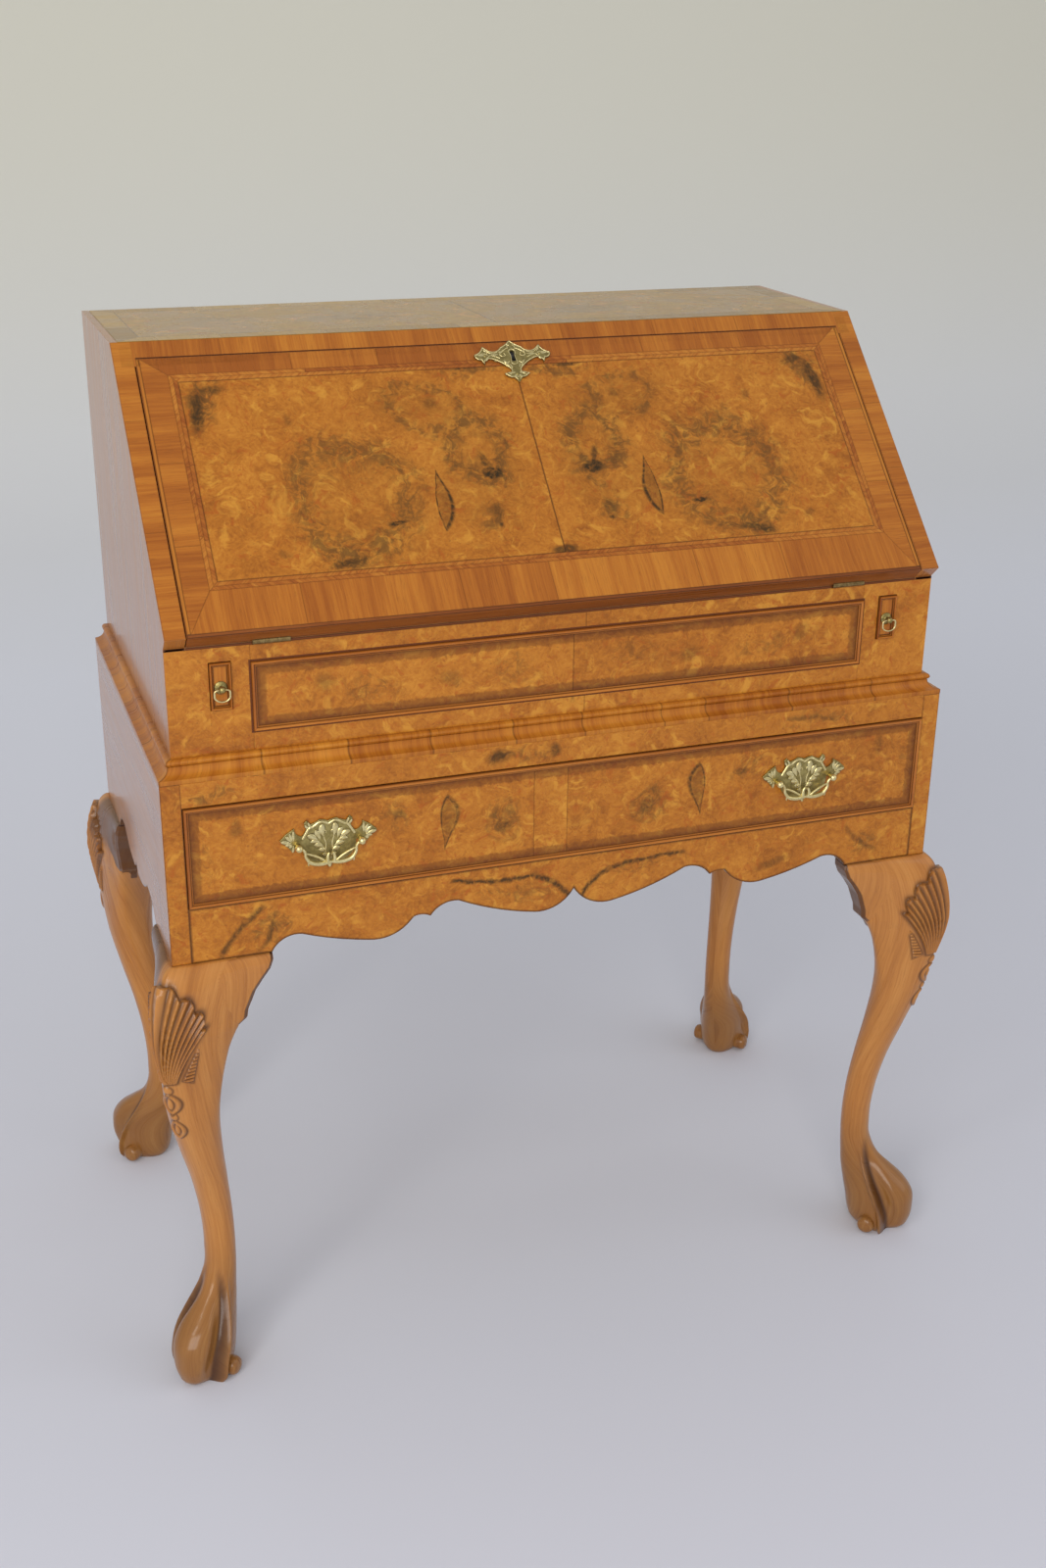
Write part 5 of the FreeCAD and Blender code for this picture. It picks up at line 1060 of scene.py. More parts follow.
def legGrid():
    table = np.array(leg["stations"], float)
    theta = np.linspace(0.0, math.pi, 721)
    c, s = np.cos(theta), np.sin(theta)
    points, rounds = [], []
    for z in spaced(0, leg["rows"]):
        share = z / leg["height"]
        tracks = [smoothTrack(table[:, 0], table[:, k], share) for k in range(1, 7)]
        outer, inner, widest, wide, powOut, powIn = tracks
        power = np.where(c >= 0, powOut, powIn)
        reach = np.where(c >= 0, outer - widest, widest - inner)
        along = widest + reach * np.sign(c) * np.abs(c) ** (2 / power)
        across = wide * np.abs(s) ** (2 / power)
        arc = np.concatenate([[0.0], np.cumsum(np.hypot(np.diff(along), np.diff(across)))])
        where = spaced(0, leg["columns"]) * arc[-1]
        a, t = np.interp(where, arc, along), np.interp(where, arc, across)
        a = np.concatenate([a, a[-2:0:-1]])
        t = np.concatenate([t, -t[-2:0:-1]])
        points.append(np.stack([a, t, np.full_like(a, z)], 1))
        rounds.append(np.concatenate([where, -where[-2:0:-1]]))
    return np.array(points), np.array(rounds)


def gridNormals(points):
    rightward = np.roll(points, -1, 1) - np.roll(points, 1, 1)
    upward = np.gradient(points, axis=0)
    normal = np.cross(rightward, upward)
    return normal / np.maximum(np.linalg.norm(normal, axis=2, keepdims=True), 1e-9)


legPoints, legRound = legGrid()
plainLeg = legPoints.copy()
legZ = plainLeg[:, :, 2]
legPoints[:, :, 1], paintedFootShade = shapeFoot(plainLeg[:, :, 0], plainLeg[:, :, 1], legZ)
kneePush, paintedKneeShade = carveKnee(legRound, legZ)
kneeFade = softStep(leg["height"] - legZ, 1.0, 7.0)
outerSide = softStep(np.abs(legRound) / np.abs(legRound).max(1, keepdims=True), 0.66, 0.52)
swell = kneePush * kneeFade + shoulderOf(legZ) * outerSide
legPoints = legPoints + gridNormals(legPoints) * swell[:, :, None]
# painted shade on the knees' outward sides, where little light falls, joined to the painted shade of the
# carving and the foot
paintedSideShade = leg["paintedSideShade"] * softStep(-legRound, 5.0, 20.0) * softStep(legPoints[:, :, 2], 412.0, 436.0)
paintedLegShade = np.clip(np.maximum(np.maximum(paintedFootShade, paintedSideShade), paintedKneeShade * kneeFade), 0, 1)


def cornerPlace(signX, signY, s, t):
    # s runs out along the corner's diagonal and t across it, in mm
    x = signX * (leg["corner"][0] + mm * (s - t) * diagonal)
    return x, signY * (leg["corner"][1] + mm * (s + t) * diagonal)


def legMesh(name, signX, signY):
    s, t, z = [legPoints[:, :, k].ravel() for k in range(3)]
    verts = [tuple(v) for v in np.stack([*cornerPlace(signX, signY, s, t), np.maximum(z, 0.0) * mm], 1)]
    faces = ringFaces(np.arange(len(verts)).reshape(legRound.shape).tolist())
    if signX * signY < 0:
        faces = [tuple(reversed(face)) for face in faces]
    mesh = bpy.data.meshes.new(name)
    mesh.from_pydata(verts, [], faces)
    paintedShade = mesh.attributes.new("cut", "FLOAT", "POINT")
    paintedShade.data.foreach_set("value", paintedLegShade.ravel().astype(np.float32))
    loops = np.zeros(len(mesh.loops), np.int32)
    mesh.loops.foreach_get("vertex_index", loops)
    girth = legRound.ravel() * mm
    uv = np.stack([(z * mm)[loops], girth[loops] + 0.3 * signX + 0.7 * signY], 1)
    mesh.uv_layers.new(name="grain").data.foreach_set("uv", uv.ravel().astype(np.float32))
    return mesh


def turnAngles(count):
    return [2 * math.pi * k / count for k in range(count)]


def roundBoss(bm, centre, outward, radius, length):
    # a turned button: rings along its axis
    axis = Vector(outward).normalized()
    side = axis.orthogonal().normalized()
    other = axis.cross(side)
    rings = []
    for along, wide in ((0.0, 1.0), (0.55, 1.0), (0.72, 0.97), (0.86, 0.86), (0.95, 0.62), (1.0, 0.30)):
        ring = []
        for angle in turnAngles(28):
            out = (side * math.cos(angle) + other * math.sin(angle)) * radius * wide
            ring.append(bm.verts.new(centre + axis * along * length + out))
        rings.append(ring)
    fillRings(bm, rings)


for nameX, signX in (("left", -1), ("right", 1)):
    for nameY, signY in (("front", -1), ("back", 1)):
        node = f"leg_{nameY}_{nameX}"
        mesh = legMesh("carved_" + node, signX, signY)
        addMesh("carved_" + node, mesh, "carved", "case", "carved_walnut", (node,), smooth=60)
        # the buttons at the foot stand where the CAD ones do
        boss = leg["boss"]
        bm = bmesh.new()
        for side in (-1, 1):
            middle = Vector((*cornerPlace(signX, signY, boss["along"], side * boss["aside"]), boss["z"]))
            outward = (signX * -side * diagonal, signY * side * diagonal, 0.0)
            roundBoss(bm, middle, outward, boss["radius"], boss["length"])
        bmesh.ops.recalc_face_normals(bm, faces=bm.faces)
        grainMap(bm, "z")
        addPiece("bosses_" + node, bm, "carved", "case", "carved_walnut", smooth=60)
        # corner post above the leg, sunk for its veneer at the front
        bm = cadMesh(node)
        parts = list(bm.verts) + list(bm.edges) + list(bm.faces)
        bmesh.ops.bisect_plane(bm, geom=parts, plane_co=(0, 0, leg["postFrom"]), plane_no=axes["z"],
                               clear_inner=True)
        bmesh.ops.holes_fill(bm, edges=[e for e in bm.edges if len(e.link_faces) == 1])
        faceY = signY * leg["corner"][1]
        if signY < 0:
            for vert in [v for v in bm.verts if abs(v.co.y - faceY) < flush]:
                vert.co.y += leafThick
        softenEdges(bm, 0.0005)
        grainMap(bm, "y")
        addPiece("post_" + node, bm, "veneer", "case", "carved_walnut", even=True)
        if signY < 0:
            x0, z0, x1, z1 = leg["postFace"]
            bm = bmesh.new()
            outline = rectangle(signX * x0, z0, signX * x1, z1)
            veneerLeaf(bm, outline, onFront(faceY), 0.0, 0.25 * signX, joint=0.0008, strength=0.7)
            addPiece("post_face_" + nameX, bm, "apronBurr", "case", "carved_walnut")


# Ears: a face that carries on from the knee and drops to a dark free edge, stained and with painted shade;
# the back and a line under the boards are painted shade
ear = {
    # height and reach of the free edge, in mm
    "edge": [
        (469.0, -94.0), (463.0, -94.0), (454.0, -90.5), (444.0, -83.0), (433.0, -76.0), (422.0, -72.0),
        (413.0, -68.5), (404.5, -67.4), (402.5, -66.0), (397.0, -59.5), (390.0, -54.0), (384.0, -50.5),
    ],
    "start": -36.0, "thick": 19.0, "columns": 44, "rows": ((402.0, 12), (406.0, 6), (456.0, 32), (468.8, 18)),
}


def earMesh(bm, signX, signY, turned):
    edgeZ, edgeX = np.array(ear["edge"])[::-1].T
    share = 1 - (1 - np.linspace(0.0, 1.0, ear["columns"])) ** 1.7
    uvLayer, cutLayer = layer(bm, "grain"), layer(bm, "cut")
    front, back = [], []
    for z in spaced(edgeZ[0], ear["rows"]):
        row = np.argmin(np.abs(plainLeg[:, 0, 2] - z))
        half = plainLeg[row, :plainLeg.shape[1] // 2 + 1]
        legX = (half[:, 0] - half[:, 1]) * diagonal
        legY = (half[:, 0] + half[:, 1]) * diagonal
        face = np.argmin(legX) + 1
        order = np.argsort(legX[:face])
        tipX, x0 = np.interp(z, edgeZ, edgeX), ear["start"]
        y0, y1 = np.interp((x0, x0 + 8.0), legX[:face][order], legY[:face][order])
        run = tipX - x0
        endY = 0.6 * softStep(z, 469.0, 455.0)
        x = x0 + run * share
        y = easeBetween(share, y0, (y1 - y0) / 8.0 * run, endY)
        away = np.abs(x - tipX) * (0.75 if z < 455 else 1.0)
        y = y + shoulderOf(z) - 2.4 * softStep(away, 3.2, 0.0)
        # painted shade and stain on the free edge, and a painted shadow under the boards
        paintedShade = 0.95 * softStep(away, 3.6, 2.4) + 0.4 * bell(leg["height"] - z, 0.0, 1.2)
        if turned:
            paintedShade = np.maximum(paintedShade, leg["paintedSideShade"] + 0.10 * softStep(share, 0.0, 0.5))
        lineF, lineB = [], []
        for k in range(len(x)):
            for line, depth, dark in ((lineF, y[k], paintedShade[k]), (lineB, endY - ear["thick"], 1.0)):
                place = (depth, x[k]) if turned else (x[k], depth)
                spotX, spotY = [c + mm * p for c, p in zip(leg["corner"], place)]
                vert = bm.verts.new((signX * spotX, signY * spotY, z * mm))
                vert[cutLayer] = dark
                line.append(vert)
        front.append(lineF)
        back.append(lineB)
    made = ringFaces([ahead + behind[::-1] for ahead, behind in zip(front, back)], ends=False)
    for i in (0, -1):
        for k in range(ear["columns"] - 1):
            made.append((front[i][k], back[i][k], back[i][k + 1], front[i][k + 1]))
    for corners in made:
        for loop in bm.faces.new(corners).loops:
            place = loop.vert.co
            loop[uvLayer].uv = (place.z + 0.12 * abs(place.x), place.x * 0.8 + place.y * 0.8)


for name, signY in (("knee_brackets_front", -1), ("knee_brackets_back", 1)):
    bm = bmesh.new()
    for signX in (-1, 1):
        for turned in (False, True):
            earMesh(bm, signX, signY, turned)
    addPiece("ears_" + name, bm, "carved", "case", "carved_walnut", (name,), smooth=50, turnOut=True)
print("legs carved:", legRound.size, "points each")


# Waist moulding in crossgrain lengths
waist = {
    # shares of the way out from the case and of the height, and the darkness there, which is painted shade in
    # the hollows, against the case and underneath
    "profile": [
        (0.0, 1.0, 0.9), (0.20, 1.0, 0.3), (0.30, 0.98, 0.1), (0.38, 0.93, 0.1), (0.42, 0.83, 0.3),
        (0.36, 0.73, 0.6), (0.26, 0.68, 0.95), (0.30, 0.66, 0.6), (0.315, 0.56, 0.25), (0.36, 0.46, 0.1),
        (0.45, 0.37, 0.05), (0.58, 0.30, 0.05), (0.78, 0.245, 0.1), (1.0, 0.22, 0.15), (1.0, 0.0, 0.6),
        (0.0, 0.0, 0.9),
    ],
    "low": 0.6490, "high": 0.6680, "case": (0.382, 0.200), "stand": (0.396, 0.215), "girth": (0.0145, 0.019),
    "frontCount": 10, "sideCount": 6,
}


def mouldingLength(bm, place, tone, shift):
    # place takes shares out, up and along; four rings give a dark joint at each end
    jointLayer, cutLayer = layer(bm, "joint"), layer(bm, "cut")
    deep, high = waist["girth"]
    girth = [0.0]
    for (o0, h0, d0), (o1, h1, d1) in zip(waist["profile"], waist["profile"][1:]):
        girth.append(girth[-1] + math.hypot((o1 - o0) * deep, (h1 - h0) * high))
    rings = []
    for share, joint in ((0.0, 1.0), (0.018, 0.0), (0.982, 0.0), (1.0, 1.0)):
        ring = []
        for (out, rise, dark), run in zip(waist["profile"], girth):
            vert = bm.verts.new(place(out, rise, share))
            vert[jointLayer] = joint * 0.8
            vert[cutLayer] = dark * 0.35
            ring.append((vert, (run, share * 0.06 + shift)))
        rings.append(ring)
    fillMapped(bm, rings, tone)


chance = random.Random(5)
bm = bmesh.new()
caseX, caseY = waist["case"]
outX, outY = waist["stand"][0] - caseX, waist["stand"][1] - caseY
tall = waist["high"] - waist["low"]
cuts = stripCuts(-1.0, 1.0, waist["frontCount"])
for i in range(waist["frontCount"]):
    def frontPlace(out, rise, share):
        corner = caseX + outX * out
        start = -corner if i == 0 else cuts[i] * caseX
        end = corner if i == waist["frontCount"] - 1 else cuts[i + 1] * caseX
        return (start + (end - start) * share, -(caseY + outY * out), waist["low"] + tall * rise)
    mouldingLength(bm, frontPlace, chance.uniform(-0.9, 0.9), 0.31 * i)
for sign in (-1, 1):
    cuts = stripCuts(-caseY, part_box("waist_moulding")[1][1], waist["sideCount"])
    for i in range(waist["sideCount"]):
        def sidePlace(out, rise, share):
            start = -(caseY + outY * out) if i == 0 else cuts[i]
            along = start + (cuts[i + 1] - start) * share
            return (sign * (caseX + outX * out), along, waist["low"] + tall * rise)
        mouldingLength(bm, sidePlace, chance.uniform(-0.9, 0.9), 0.31 * i + 7)
addPiece("waist_lengths", bm, "waistband", "case", "walnut_veneer", ("waist_moulding",), smooth=28,
         turnOut=True)
print("waist moulding done")


# Brass: plain plates from the CAD, with raised leaves, stems and engraved lines laid on them

def mirrored(points, sign):
    return [(sign * x, z) for x, z in points]


def curvePoints(points, steps):
    made = []
    spots = [Vector(p) for p in points]
    padded = [spots[0] * 2 - spots[1]] + spots + [spots[-1] * 2 - spots[-2]]
    for a, b, c, d in zip(padded, padded[1:], padded[2:], padded[3:]):
        for k in range(steps):
            t = k / steps
            bend = (2 * a - 5 * b + 4 * c - d) * t * t + (3 * b - a - 3 * c + d) * t ** 3
            made.append(0.5 * (2 * b + (c - a) * t + bend))
    made.append(spots[-1])
    return made


def aheadOf(path, i):
    return path[min(i + 1, len(path) - 1)] - path[max(i - 1, 0)]


def sectionRow(bm, middle, side, section, place):
    # a section in mm laid across a stem or a leaf: its place, height and darkness
    cutLayer = layer(bm, "cut")
    row = []
    for across, high, dark in section:
        flat = (middle + side * across) * mm
        vert = bm.verts.new(place(flat.x, flat.y, high * mm))
        vert[cutLayer] = dark
        row.append(vert)
    return row


def stroke(bm, points, widths, place, rise, edgeDark=0.9, crestDark=0.0, steps=6):
    # a raised stem in mm: a low ridge with dark feet; widths taper from the first to the last
    path = curvePoints(points, steps)
    crest = ((-0.33, 0.8 * rise, crestDark), (0.0, rise, crestDark), (0.33, 0.8 * rise, crestDark))
    profile = ((-0.5, -0.15, edgeDark), *crest, (0.5, -0.15, edgeDark))
    rows = []
    for i, spot in enumerate(path):
        ahead = aheadOf(path, i)
        side = Vector((-ahead.y, ahead.x)).normalized()
        wide = widths[0] + (widths[1] - widths[0]) * i / (len(path) - 1)
        section = [(wide * across, high, dark) for across, high, dark in profile]
        rows.append(sectionRow(bm, spot, side, section, place))
    fillRings(bm, rows)


# across the leaf, its height and its darkness: a flat back in a dark surround
leafSection = (
    (-1.0, -0.15, 1.0), (-0.80, 0.1, 1.0), (-0.66, 0.8, 0.1), (0.0, 1.0, 0.0),
    (0.66, 0.8, 0.1), (0.80, 0.1, 1.0), (1.0, -0.15, 1.0),
)


def leafDome(bm, base, tip, wide, place, rise, bend=0.0):
    # a drop shaped leaf in mm with a dark outline; bend bows it sideways
    start = Vector(base)
    run = Vector(tip) - start
    side = Vector((-run.y, run.x)).normalized()
    rows = []
    for i in range(11):
        t = i / 10
        half = wide * 0.5 * math.sin(math.pi * (t * 0.96 + 0.02) ** 1.35) ** 0.7
        middle = start + run * t + side * bend * math.sin(math.pi * t)
        section = []
        for across, high, dark in leafSection:
            section.append((half * across, high * rise if high > 0 else high, dark))
        rows.append(sectionRow(bm, middle, side, section, place))
    fillRings(bm, rows)


def rodAlong(bm, centre, points, radii, steps):
    # a round rod in mm about a centre, darker behind
    cutLayer = layer(bm, "cut")
    path = curvePoints([centre + Vector((x, 0.0, z)) * mm for x, z in points], steps)
    sizes = curvePoints([(radius * mm, 0.0) for radius in radii], steps)
    side = Vector((0.0, -1.0, 0.0))
    rings = []
    for i, spot in enumerate(path):
        other = aheadOf(path, i).normalized().cross(side).normalized()
        ring = []
        for angle in turnAngles(10):
            vert = bm.verts.new(spot + (side * math.cos(angle) + other * math.sin(angle)) * sizes[i].x)
            vert[cutLayer] = 0.5 * max(0.0, -math.cos(angle))
            ring.append(vert)
        rings.append(ring)
    fillRings(bm, rings)


# One half of a drop handle, in mm from the middle between its posts
handle = {
    "rim": [(0.0, 19.5), (3.0, 21.2), (6.0, 22.4), (9.5, 21.6), (14.0, 18.6), (18.0, 17.2),
            (21.0, 13.0), (24.5, 7.2)],
    "stems": [
        [(1.2, -15.0), (3.0, -9.0), (6.5, -2.0), (11.0, 4.0), (16.0, 8.6)],
        [(3.2, -6.0), (3.0, 0.5), (4.6, 6.0), (5.6, 11.0), (4.4, 13.6), (2.6, 12.6), (2.8, 10.8)],
    ],
    "leaves": [
        ((2.6, -7.4), (10.0, -4.8), 4.4, 0.4), ((5.0, -2.6), (14.2, 0.2), 5.0, 0.6),
        ((8.4, 2.2), (17.6, 3.8), 4.2, 0.6), ((10.4, 4.4), (20.2, 10.4), 5.2, 0.6),
        ((8.2, 5.0), (12.8, 14.8), 4.8, 0.4), ((4.9, 7.2), (6.2, 20.2), 5.6, -0.8),
        ((2.0, -11.4), (6.6, -10.2), 3.0, 0.2),
    ],
    "fan": [
        ((33.0, 6.0), (33.2, 16.5), 3.4), ((34.0, 6.0), (37.0, 14.6), 3.4),
        ((34.5, 5.4), (40.6, 12.2), 3.6), ((35.0, 4.6), (45.2, 7.2), 4.4),
        ((34.5, 3.4), (41.0, 3.2), 3.4), ((34.0, 2.6), (37.6, 0.6), 3.0),
        ((33.2, 2.2), (34.4, -4.8), 3.0), ((16.5, 17.2), (19.4, 23.4), 2.6),
        ((18.6, 16.6), (22.4, 21.2), 2.8),
    ],
    "toe": ((0.0, -17.5), (0.0, -23.8), 5.0), "drop": 0.001,
    # the bail's rods: points, radii and steps
    "rods": [
        ([(29.8, 0.0), (26.4, -1.2), (24.2, -4.4), (23.6, -9.4), (19.6, -15.2), (12.9, -17.4),
          (6.0, -17.6), (0.0, -16.6)],
         [1.4, 1.3, 1.4, 1.7, 2.0, 2.2, 2.0, 1.5], 8),
        ([(23.8, -5.4), (19.6, -7.0), (14.5, -9.4), (8.6, -13.0), (5.0, -15.8)],
         [0.8, 1.0, 1.2, 1.1, 0.9], 8),
        ([(2.4, -18.2), (3.4, -14.0), (3.0, -10.0), (1.6, -7.4)], [1.4, 1.9, 1.5, 1.0], 8),
        ([(20.5, -14.0), (21.6, -16.6), (21.0, -18.4)], [1.4, 1.0, 0.4], 4),
    ],
}
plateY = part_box("handle_plates")[0][1]
pivots = {side: Vector(joints[f"bail_{side}_swing"]["pos_m"]) for side in ("left", "right")}
bm = bmesh.new()
for pivot in pivots.values():
    place = onFront(plateY, pivot.x, pivot.z - handle["drop"])
    for sign in (-1, 1):
        stroke(bm, mirrored(handle["rim"], sign), (2.4, 3.0), place, 0.9)
        for stem in handle["stems"]:
            stroke(bm, mirrored(stem, sign), (1.9, 1.1), place, 0.8)
        for base, tip, wide, bend in handle["leaves"]:
            leafDome(bm, *mirrored((base, tip), sign), wide * 1.5, place, 1.0, bend * sign)
        for base, tip, wide in handle["fan"]:
            leafDome(bm, *mirrored((base, tip), sign), wide * 1.15, place, 0.9)
    leafDome(bm, *handle["toe"], place, 1.0)
    for k in range(-3, 4):
        reach = 3.6 - abs(k) * 0.95
        stroke(bm, [(-reach, -1.5 + k * 1.5), (reach, 0.1 + k * 1.5)], (0.5, 0.5), place, 0.12, 0.9, 0.7, 2)
addPiece("handle_chasing", bm, "brass", "drawer", "brass", smooth=60, turnOut=True)
softCopy("handle_plates", "brassGround", "x", 0.0003)
softCopy("handle_posts", "brass", "x", 0.0002)
for side, pivot in pivots.items():
    bm = bmesh.new()
    for sign in (-1, 1):
        for points, radii, steps in handle["rods"]:
            rodAlong(bm, pivot, mirrored(points, sign), radii, steps)
    bail = "bail_" + side
    addPiece("chased_" + bail, bm, "brass", bail, "brass", (bail,), smooth=70, turnOut=True)

# One half of the escutcheon, in mm from its middle
escutcheon = {
    "along": 0.2719, "raised": 0.0011, "face": 0.0009,
    "scrolls": [
        [(4.6, 9.6), (9.0, 6.8), (13.0, 3.2), (11.0, 0.2), (7.6, 1.6), (8.6, 4.0)],
        [(15.0, 5.6), (20.0, 4.2), (24.0, 5.4), (28.6, 10.6)],
        [(14.0, -1.6), (19.0, 0.8), (24.0, 1.4), (30.0, -4.8)],
        [(26.0, 3.4), (31.0, 4.2), (36.8, 2.6)], [(5.0, -6.0), (8.0, -8.6), (6.0, -12.0)],
        [(2.6, -19.0), (6.0, -19.6), (10.4, -19.0)], [(1.4, -22.0), (3.6, -23.4), (1.0, -27.0)],
        [(1.6, 12.6), (3.4, 14.0), (1.0, 16.8)],
        [(0.0, 8.6), (2.8, 7.0), (3.0, 4.0), (2.2, 1.0), (2.6, -4.0), (2.9, -8.0), (0.0, -9.4)],
    ],
    "leaves": [
        ((24.5, 2.4), (36.4, 3.0), 3.6), ((25.0, 4.2), (28.8, 10.2), 3.0),
        ((24.6, 0.6), (29.8, -4.6), 3.0), ((14.0, 2.4), (22.0, 2.6), 2.8), ((9.4, 4.6), (13.6, 5.6), 2.4),
        ((6.0, -10.0), (11.0, -4.4), 3.0), ((3.2, -14.0), (5.4, -8.8), 2.6),
        ((2.4, -18.6), (9.6, -19.4), 2.8), ((1.8, -20.6), (3.6, -25.0), 2.4),
        ((4.0, 8.0), (3.4, 12.6), 2.4),
    ],
    "iron": (-0.00195, -0.0013), "pin": (0.004, 0.0009, 0.0008),
}
escutHigh = max((Vector(v.co) - hingeAt).dot(offSlope) for v in nodes["escutcheon"].data.vertices)
onEscutcheon = onSlope(escutHigh - escutcheon["raised"], escutcheon["along"])


def plateLoops(node, level):
    # the edges round the plate's upper face, as closed rings in mm
    bm = cadMesh(node)
    bm.normal_update()
    upper = []
    for face in bm.faces:
        high = (face.calc_center_median() - hingeAt).dot(offSlope)
        if face.normal.dot(offSlope) > 0.9 and abs(high - level) < 3e-4:
            upper.append(face)
    ends, places = {}, {}
    for face in upper:
        for loop in face.loops:
            vert = loop.vert
            along = (vert.co - hingeAt).dot(upSlope) - escutcheon["along"]
            places[vert.index] = (vert.co.x * 1000, along * 1000)
            beyond = [other for other in loop.edge.link_faces if other is not face]
            if not beyond or beyond[0] not in upper:
                ends[vert.index] = loop.link_loop_next.vert.index
    rings = []
    while ends:
        first, following = ends.popitem()
        ring = [places[first]]
        while following in ends:
            ring.append(places[following])
            following = ends.pop(following)
        rings.append(ring)
    bm.free()
    return sorted(rings, key=len)


softCopy("escutcheon", "brassGround", "x", 0.0003)
rings = plateLoops("escutcheon", escutHigh - escutcheon["face"])
bm = bmesh.new()
for sign in (-1, 1):
    for scroll in escutcheon["scrolls"]:
        stroke(bm, mirrored(scroll, sign), (1.4, 0.9), onEscutcheon, 0.7)
    for base, tip, wide in escutcheon["leaves"]:
        leafDome(bm, *mirrored((base, tip), sign), wide, onEscutcheon, 0.7)
outline = anticlockwise([Vector(p) for p in rings[-1]])
border = insetPolygon(outline[::2], 0.8)
stroke(bm, border + border[:1], (1.3, 1.3), onEscutcheon, 0.75, steps=1)
addPiece("escutcheon_chasing", bm, "brass", "fall", "brass", smooth=60, turnOut=True)
# a near-black face and pin in the keyhole: painted shade, standing for the lock seen through it
bm = bmesh.new()
walls = []
for high in escutcheon["iron"]:
    walls.append([bm.verts.new(onEscutcheon(x * 0.98 * mm, z * 0.98 * mm, high)) for x, z in rings[-2]])
fillRings(bm, walls)
along, radius, length = escutcheon["pin"]
roundBoss(bm, onEscutcheon(0.0, along, escutcheon["iron"][1]), offSlope, radius, length)
addPiece("keyhole_shade_plug", bm, "iron", "fall", "brass", turnOut=True)
# rosettes, their rings, drawn a little shorter, and the knobs of the small drawers
ringShare = 0.74
for kind, finish in (("loper_pull_", "brassGround"), ("loper_ring_", "brass"), ("small_knob_", "brass")):
    for name in (kind + "left", kind + "right"):
        bm = cadMesh(name)
        grainMap(bm, "z")
        if kind == "loper_ring_":
            pivot = Vector(joints[name + "_swing"]["pos_m"])
            for vert in bm.verts:
                vert.co.z = pivot.z + (vert.co.z - pivot.z) * ringShare
        addPiece("look_" + name, bm, finish, body_of(nodes[name])[0], "brass", (name,), smooth=40)
print("brass done")


# Floor, light and camera
studio = {
    "floor": [
        (0.05, (0.71, 0.725, 0.80)), (0.33, (0.82, 0.84, 0.91)), (0.66, (0.87, 0.875, 0.87)),
        (1.0, (0.88, 0.855, 0.72)),
    ],
    "world": ((0.93, 0.94, 1.0, 1.0), 0.52), "turnAt": 3.0, "bend": 2.4, "height": 7.0,
    # place, aim, size, power and colour
    "lamps": {
        "key": ((-1.9, -3.4, 2.1), (0.0, 0.0, 0.5), (3.0, 2.2), 84.0, (1.0, 0.97, 0.92)),
        "fill": ((3.0, -1.8, 2.2), (0.0, 0.0, 0.5), (2.5, 2.5), 15.0, (0.95, 0.97, 1.0)),
        "glint": ((-1.6, -1.3, 2.3), (-0.2, -0.2, 0.3), (0.5, 0.7), 5.5, (1.0, 0.98, 0.95)),
        "wash": ((0.0, 2.6, 5.2), (0.0, 4.4, 1.0), (8.0, 1.0), 19.0, (1.0, 1.0, 0.98)),
    },
}


def floorMaterial():
    material, tree, shader = newMaterial("pale floor")
    place = objectPlace(tree)
    y, height = split(tree, place)[1:]
    depth = band(tree, timesPlus(tree, height, 1.6, y), -1.5, 7.5)
    colour = ramp(tree, depth, studio["floor"])
    colour = tint(tree, colour, (0.60, 0.60, 0.62), noise(tree, place, 0.8, 2.0), 0.06)
    tree.links.new(colour, shader.inputs["Base Color"])
    shader.inputs["Roughness"].default_value = 0.9
    shader.inputs["Specular IOR Level"].default_value = 0.1
    return material


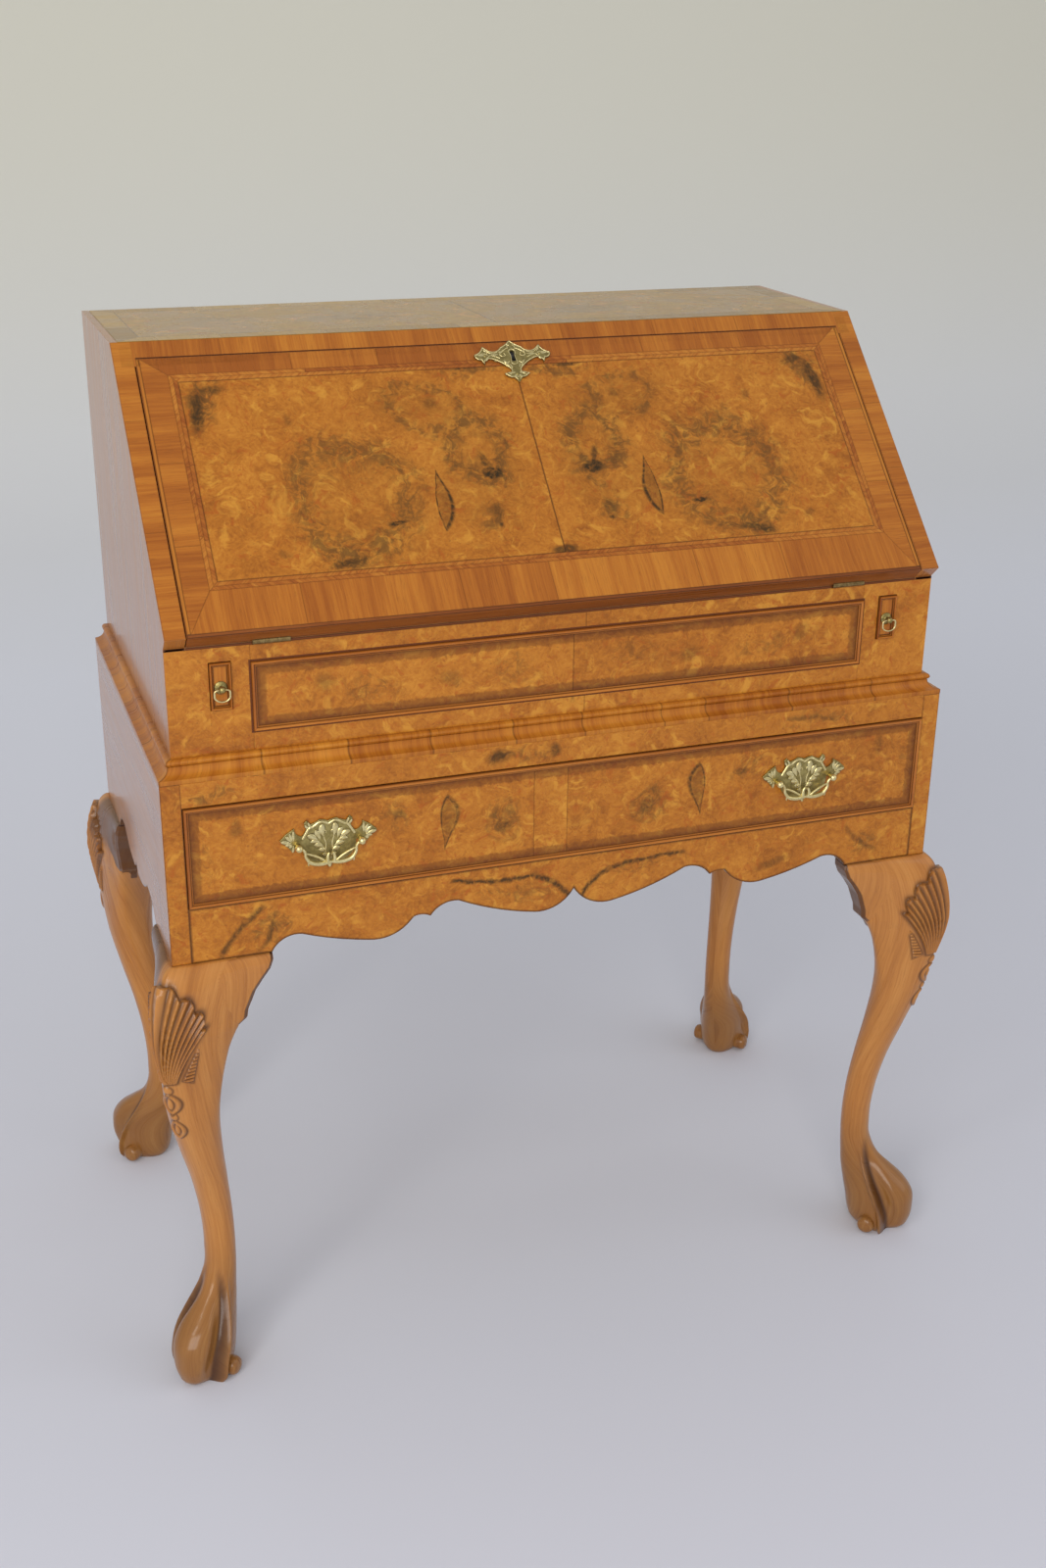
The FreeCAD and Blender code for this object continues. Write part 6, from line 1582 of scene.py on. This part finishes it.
bm = bmesh.new()
turnAt, bend = studio["turnAt"], studio["bend"]
sweep = [(-9.0, 0.0), (-3.0, 0.0), (0.0, 0.0), (turnAt, 0.0)]
for k in range(1, 17):
    angle = quarterTurn * k / 16
    sweep.append((turnAt + bend * math.sin(angle), bend * (1 - math.cos(angle))))
sweep.append((turnAt + bend, studio["height"]))
lines = [[bm.verts.new((x, y, z)) for x in (-14.0, -5.0, 0.0, 5.0, 14.0)] for y, z in sweep]
for low, high in zip(lines, lines[1:]):
    for k in range(4):
        bm.faces.new((low[k], low[k + 1], high[k + 1], high[k])).smooth = True
mesh = bpy.data.meshes.new("floor")
bm.to_mesh(mesh)
bm.free()
mesh.materials.append(floorMaterial())
floor = bpy.data.objects.new("floor", mesh)
scene.collection.objects.link(floor)

world = bpy.data.worlds.new("studio")
scene.world = world
world.use_nodes = True
for socket, value in zip(world.node_tree.nodes["Background"].inputs, studio["world"]):
    socket.default_value = value

for name, (place, aim, size, power, colour) in studio["lamps"].items():
    data = bpy.data.lights.new(name, "AREA")
    data.shape = "RECTANGLE"
    data.size, data.size_y = size
    data.energy = power
    data.color = colour
    lamp = bpy.data.objects.new(name, data)
    lamp.location = place
    lamp.rotation_mode = "QUATERNION"
    lamp.rotation_quaternion = (Vector(aim) - Vector(place)).to_track_quat("-Z", "Y")
    scene.collection.objects.link(lamp)

shot = {
    "place": (-0.5903, -1.6992, 1.2694), "azimuth": -19.846, "elevation": 22.762, "roll": 0.664,
    "lens": 41.35, "sensor": 36.0,
}
azimuth, elevation, roll = [math.radians(shot[key]) for key in ("azimuth", "elevation", "roll")]
level = math.cos(elevation)
back = Vector((math.sin(azimuth) * level, -math.cos(azimuth) * level, math.sin(elevation)))
right = (-back).cross(Vector(axes["z"])).normalized()
up = right.cross(-back).normalized()
camRight = right * math.cos(roll) + up * math.sin(roll)
camUp = up * math.cos(roll) - right * math.sin(roll)
cameraData = bpy.data.cameras.new("photo camera")
cameraData.lens = shot["lens"]
cameraData.sensor_width = shot["sensor"]
camera = bpy.data.objects.new("photo camera", cameraData)
scene.collection.objects.link(camera)
turn = camera.matrix_world.copy()
for i in range(3):
    turn[i][0], turn[i][1], turn[i][2], turn[i][3] = camRight[i], camUp[i], back[i], shot["place"][i]
camera.matrix_world = turn
scene.camera = camera
scene.view_settings.view_transform = "Standard"

print("scene finished")
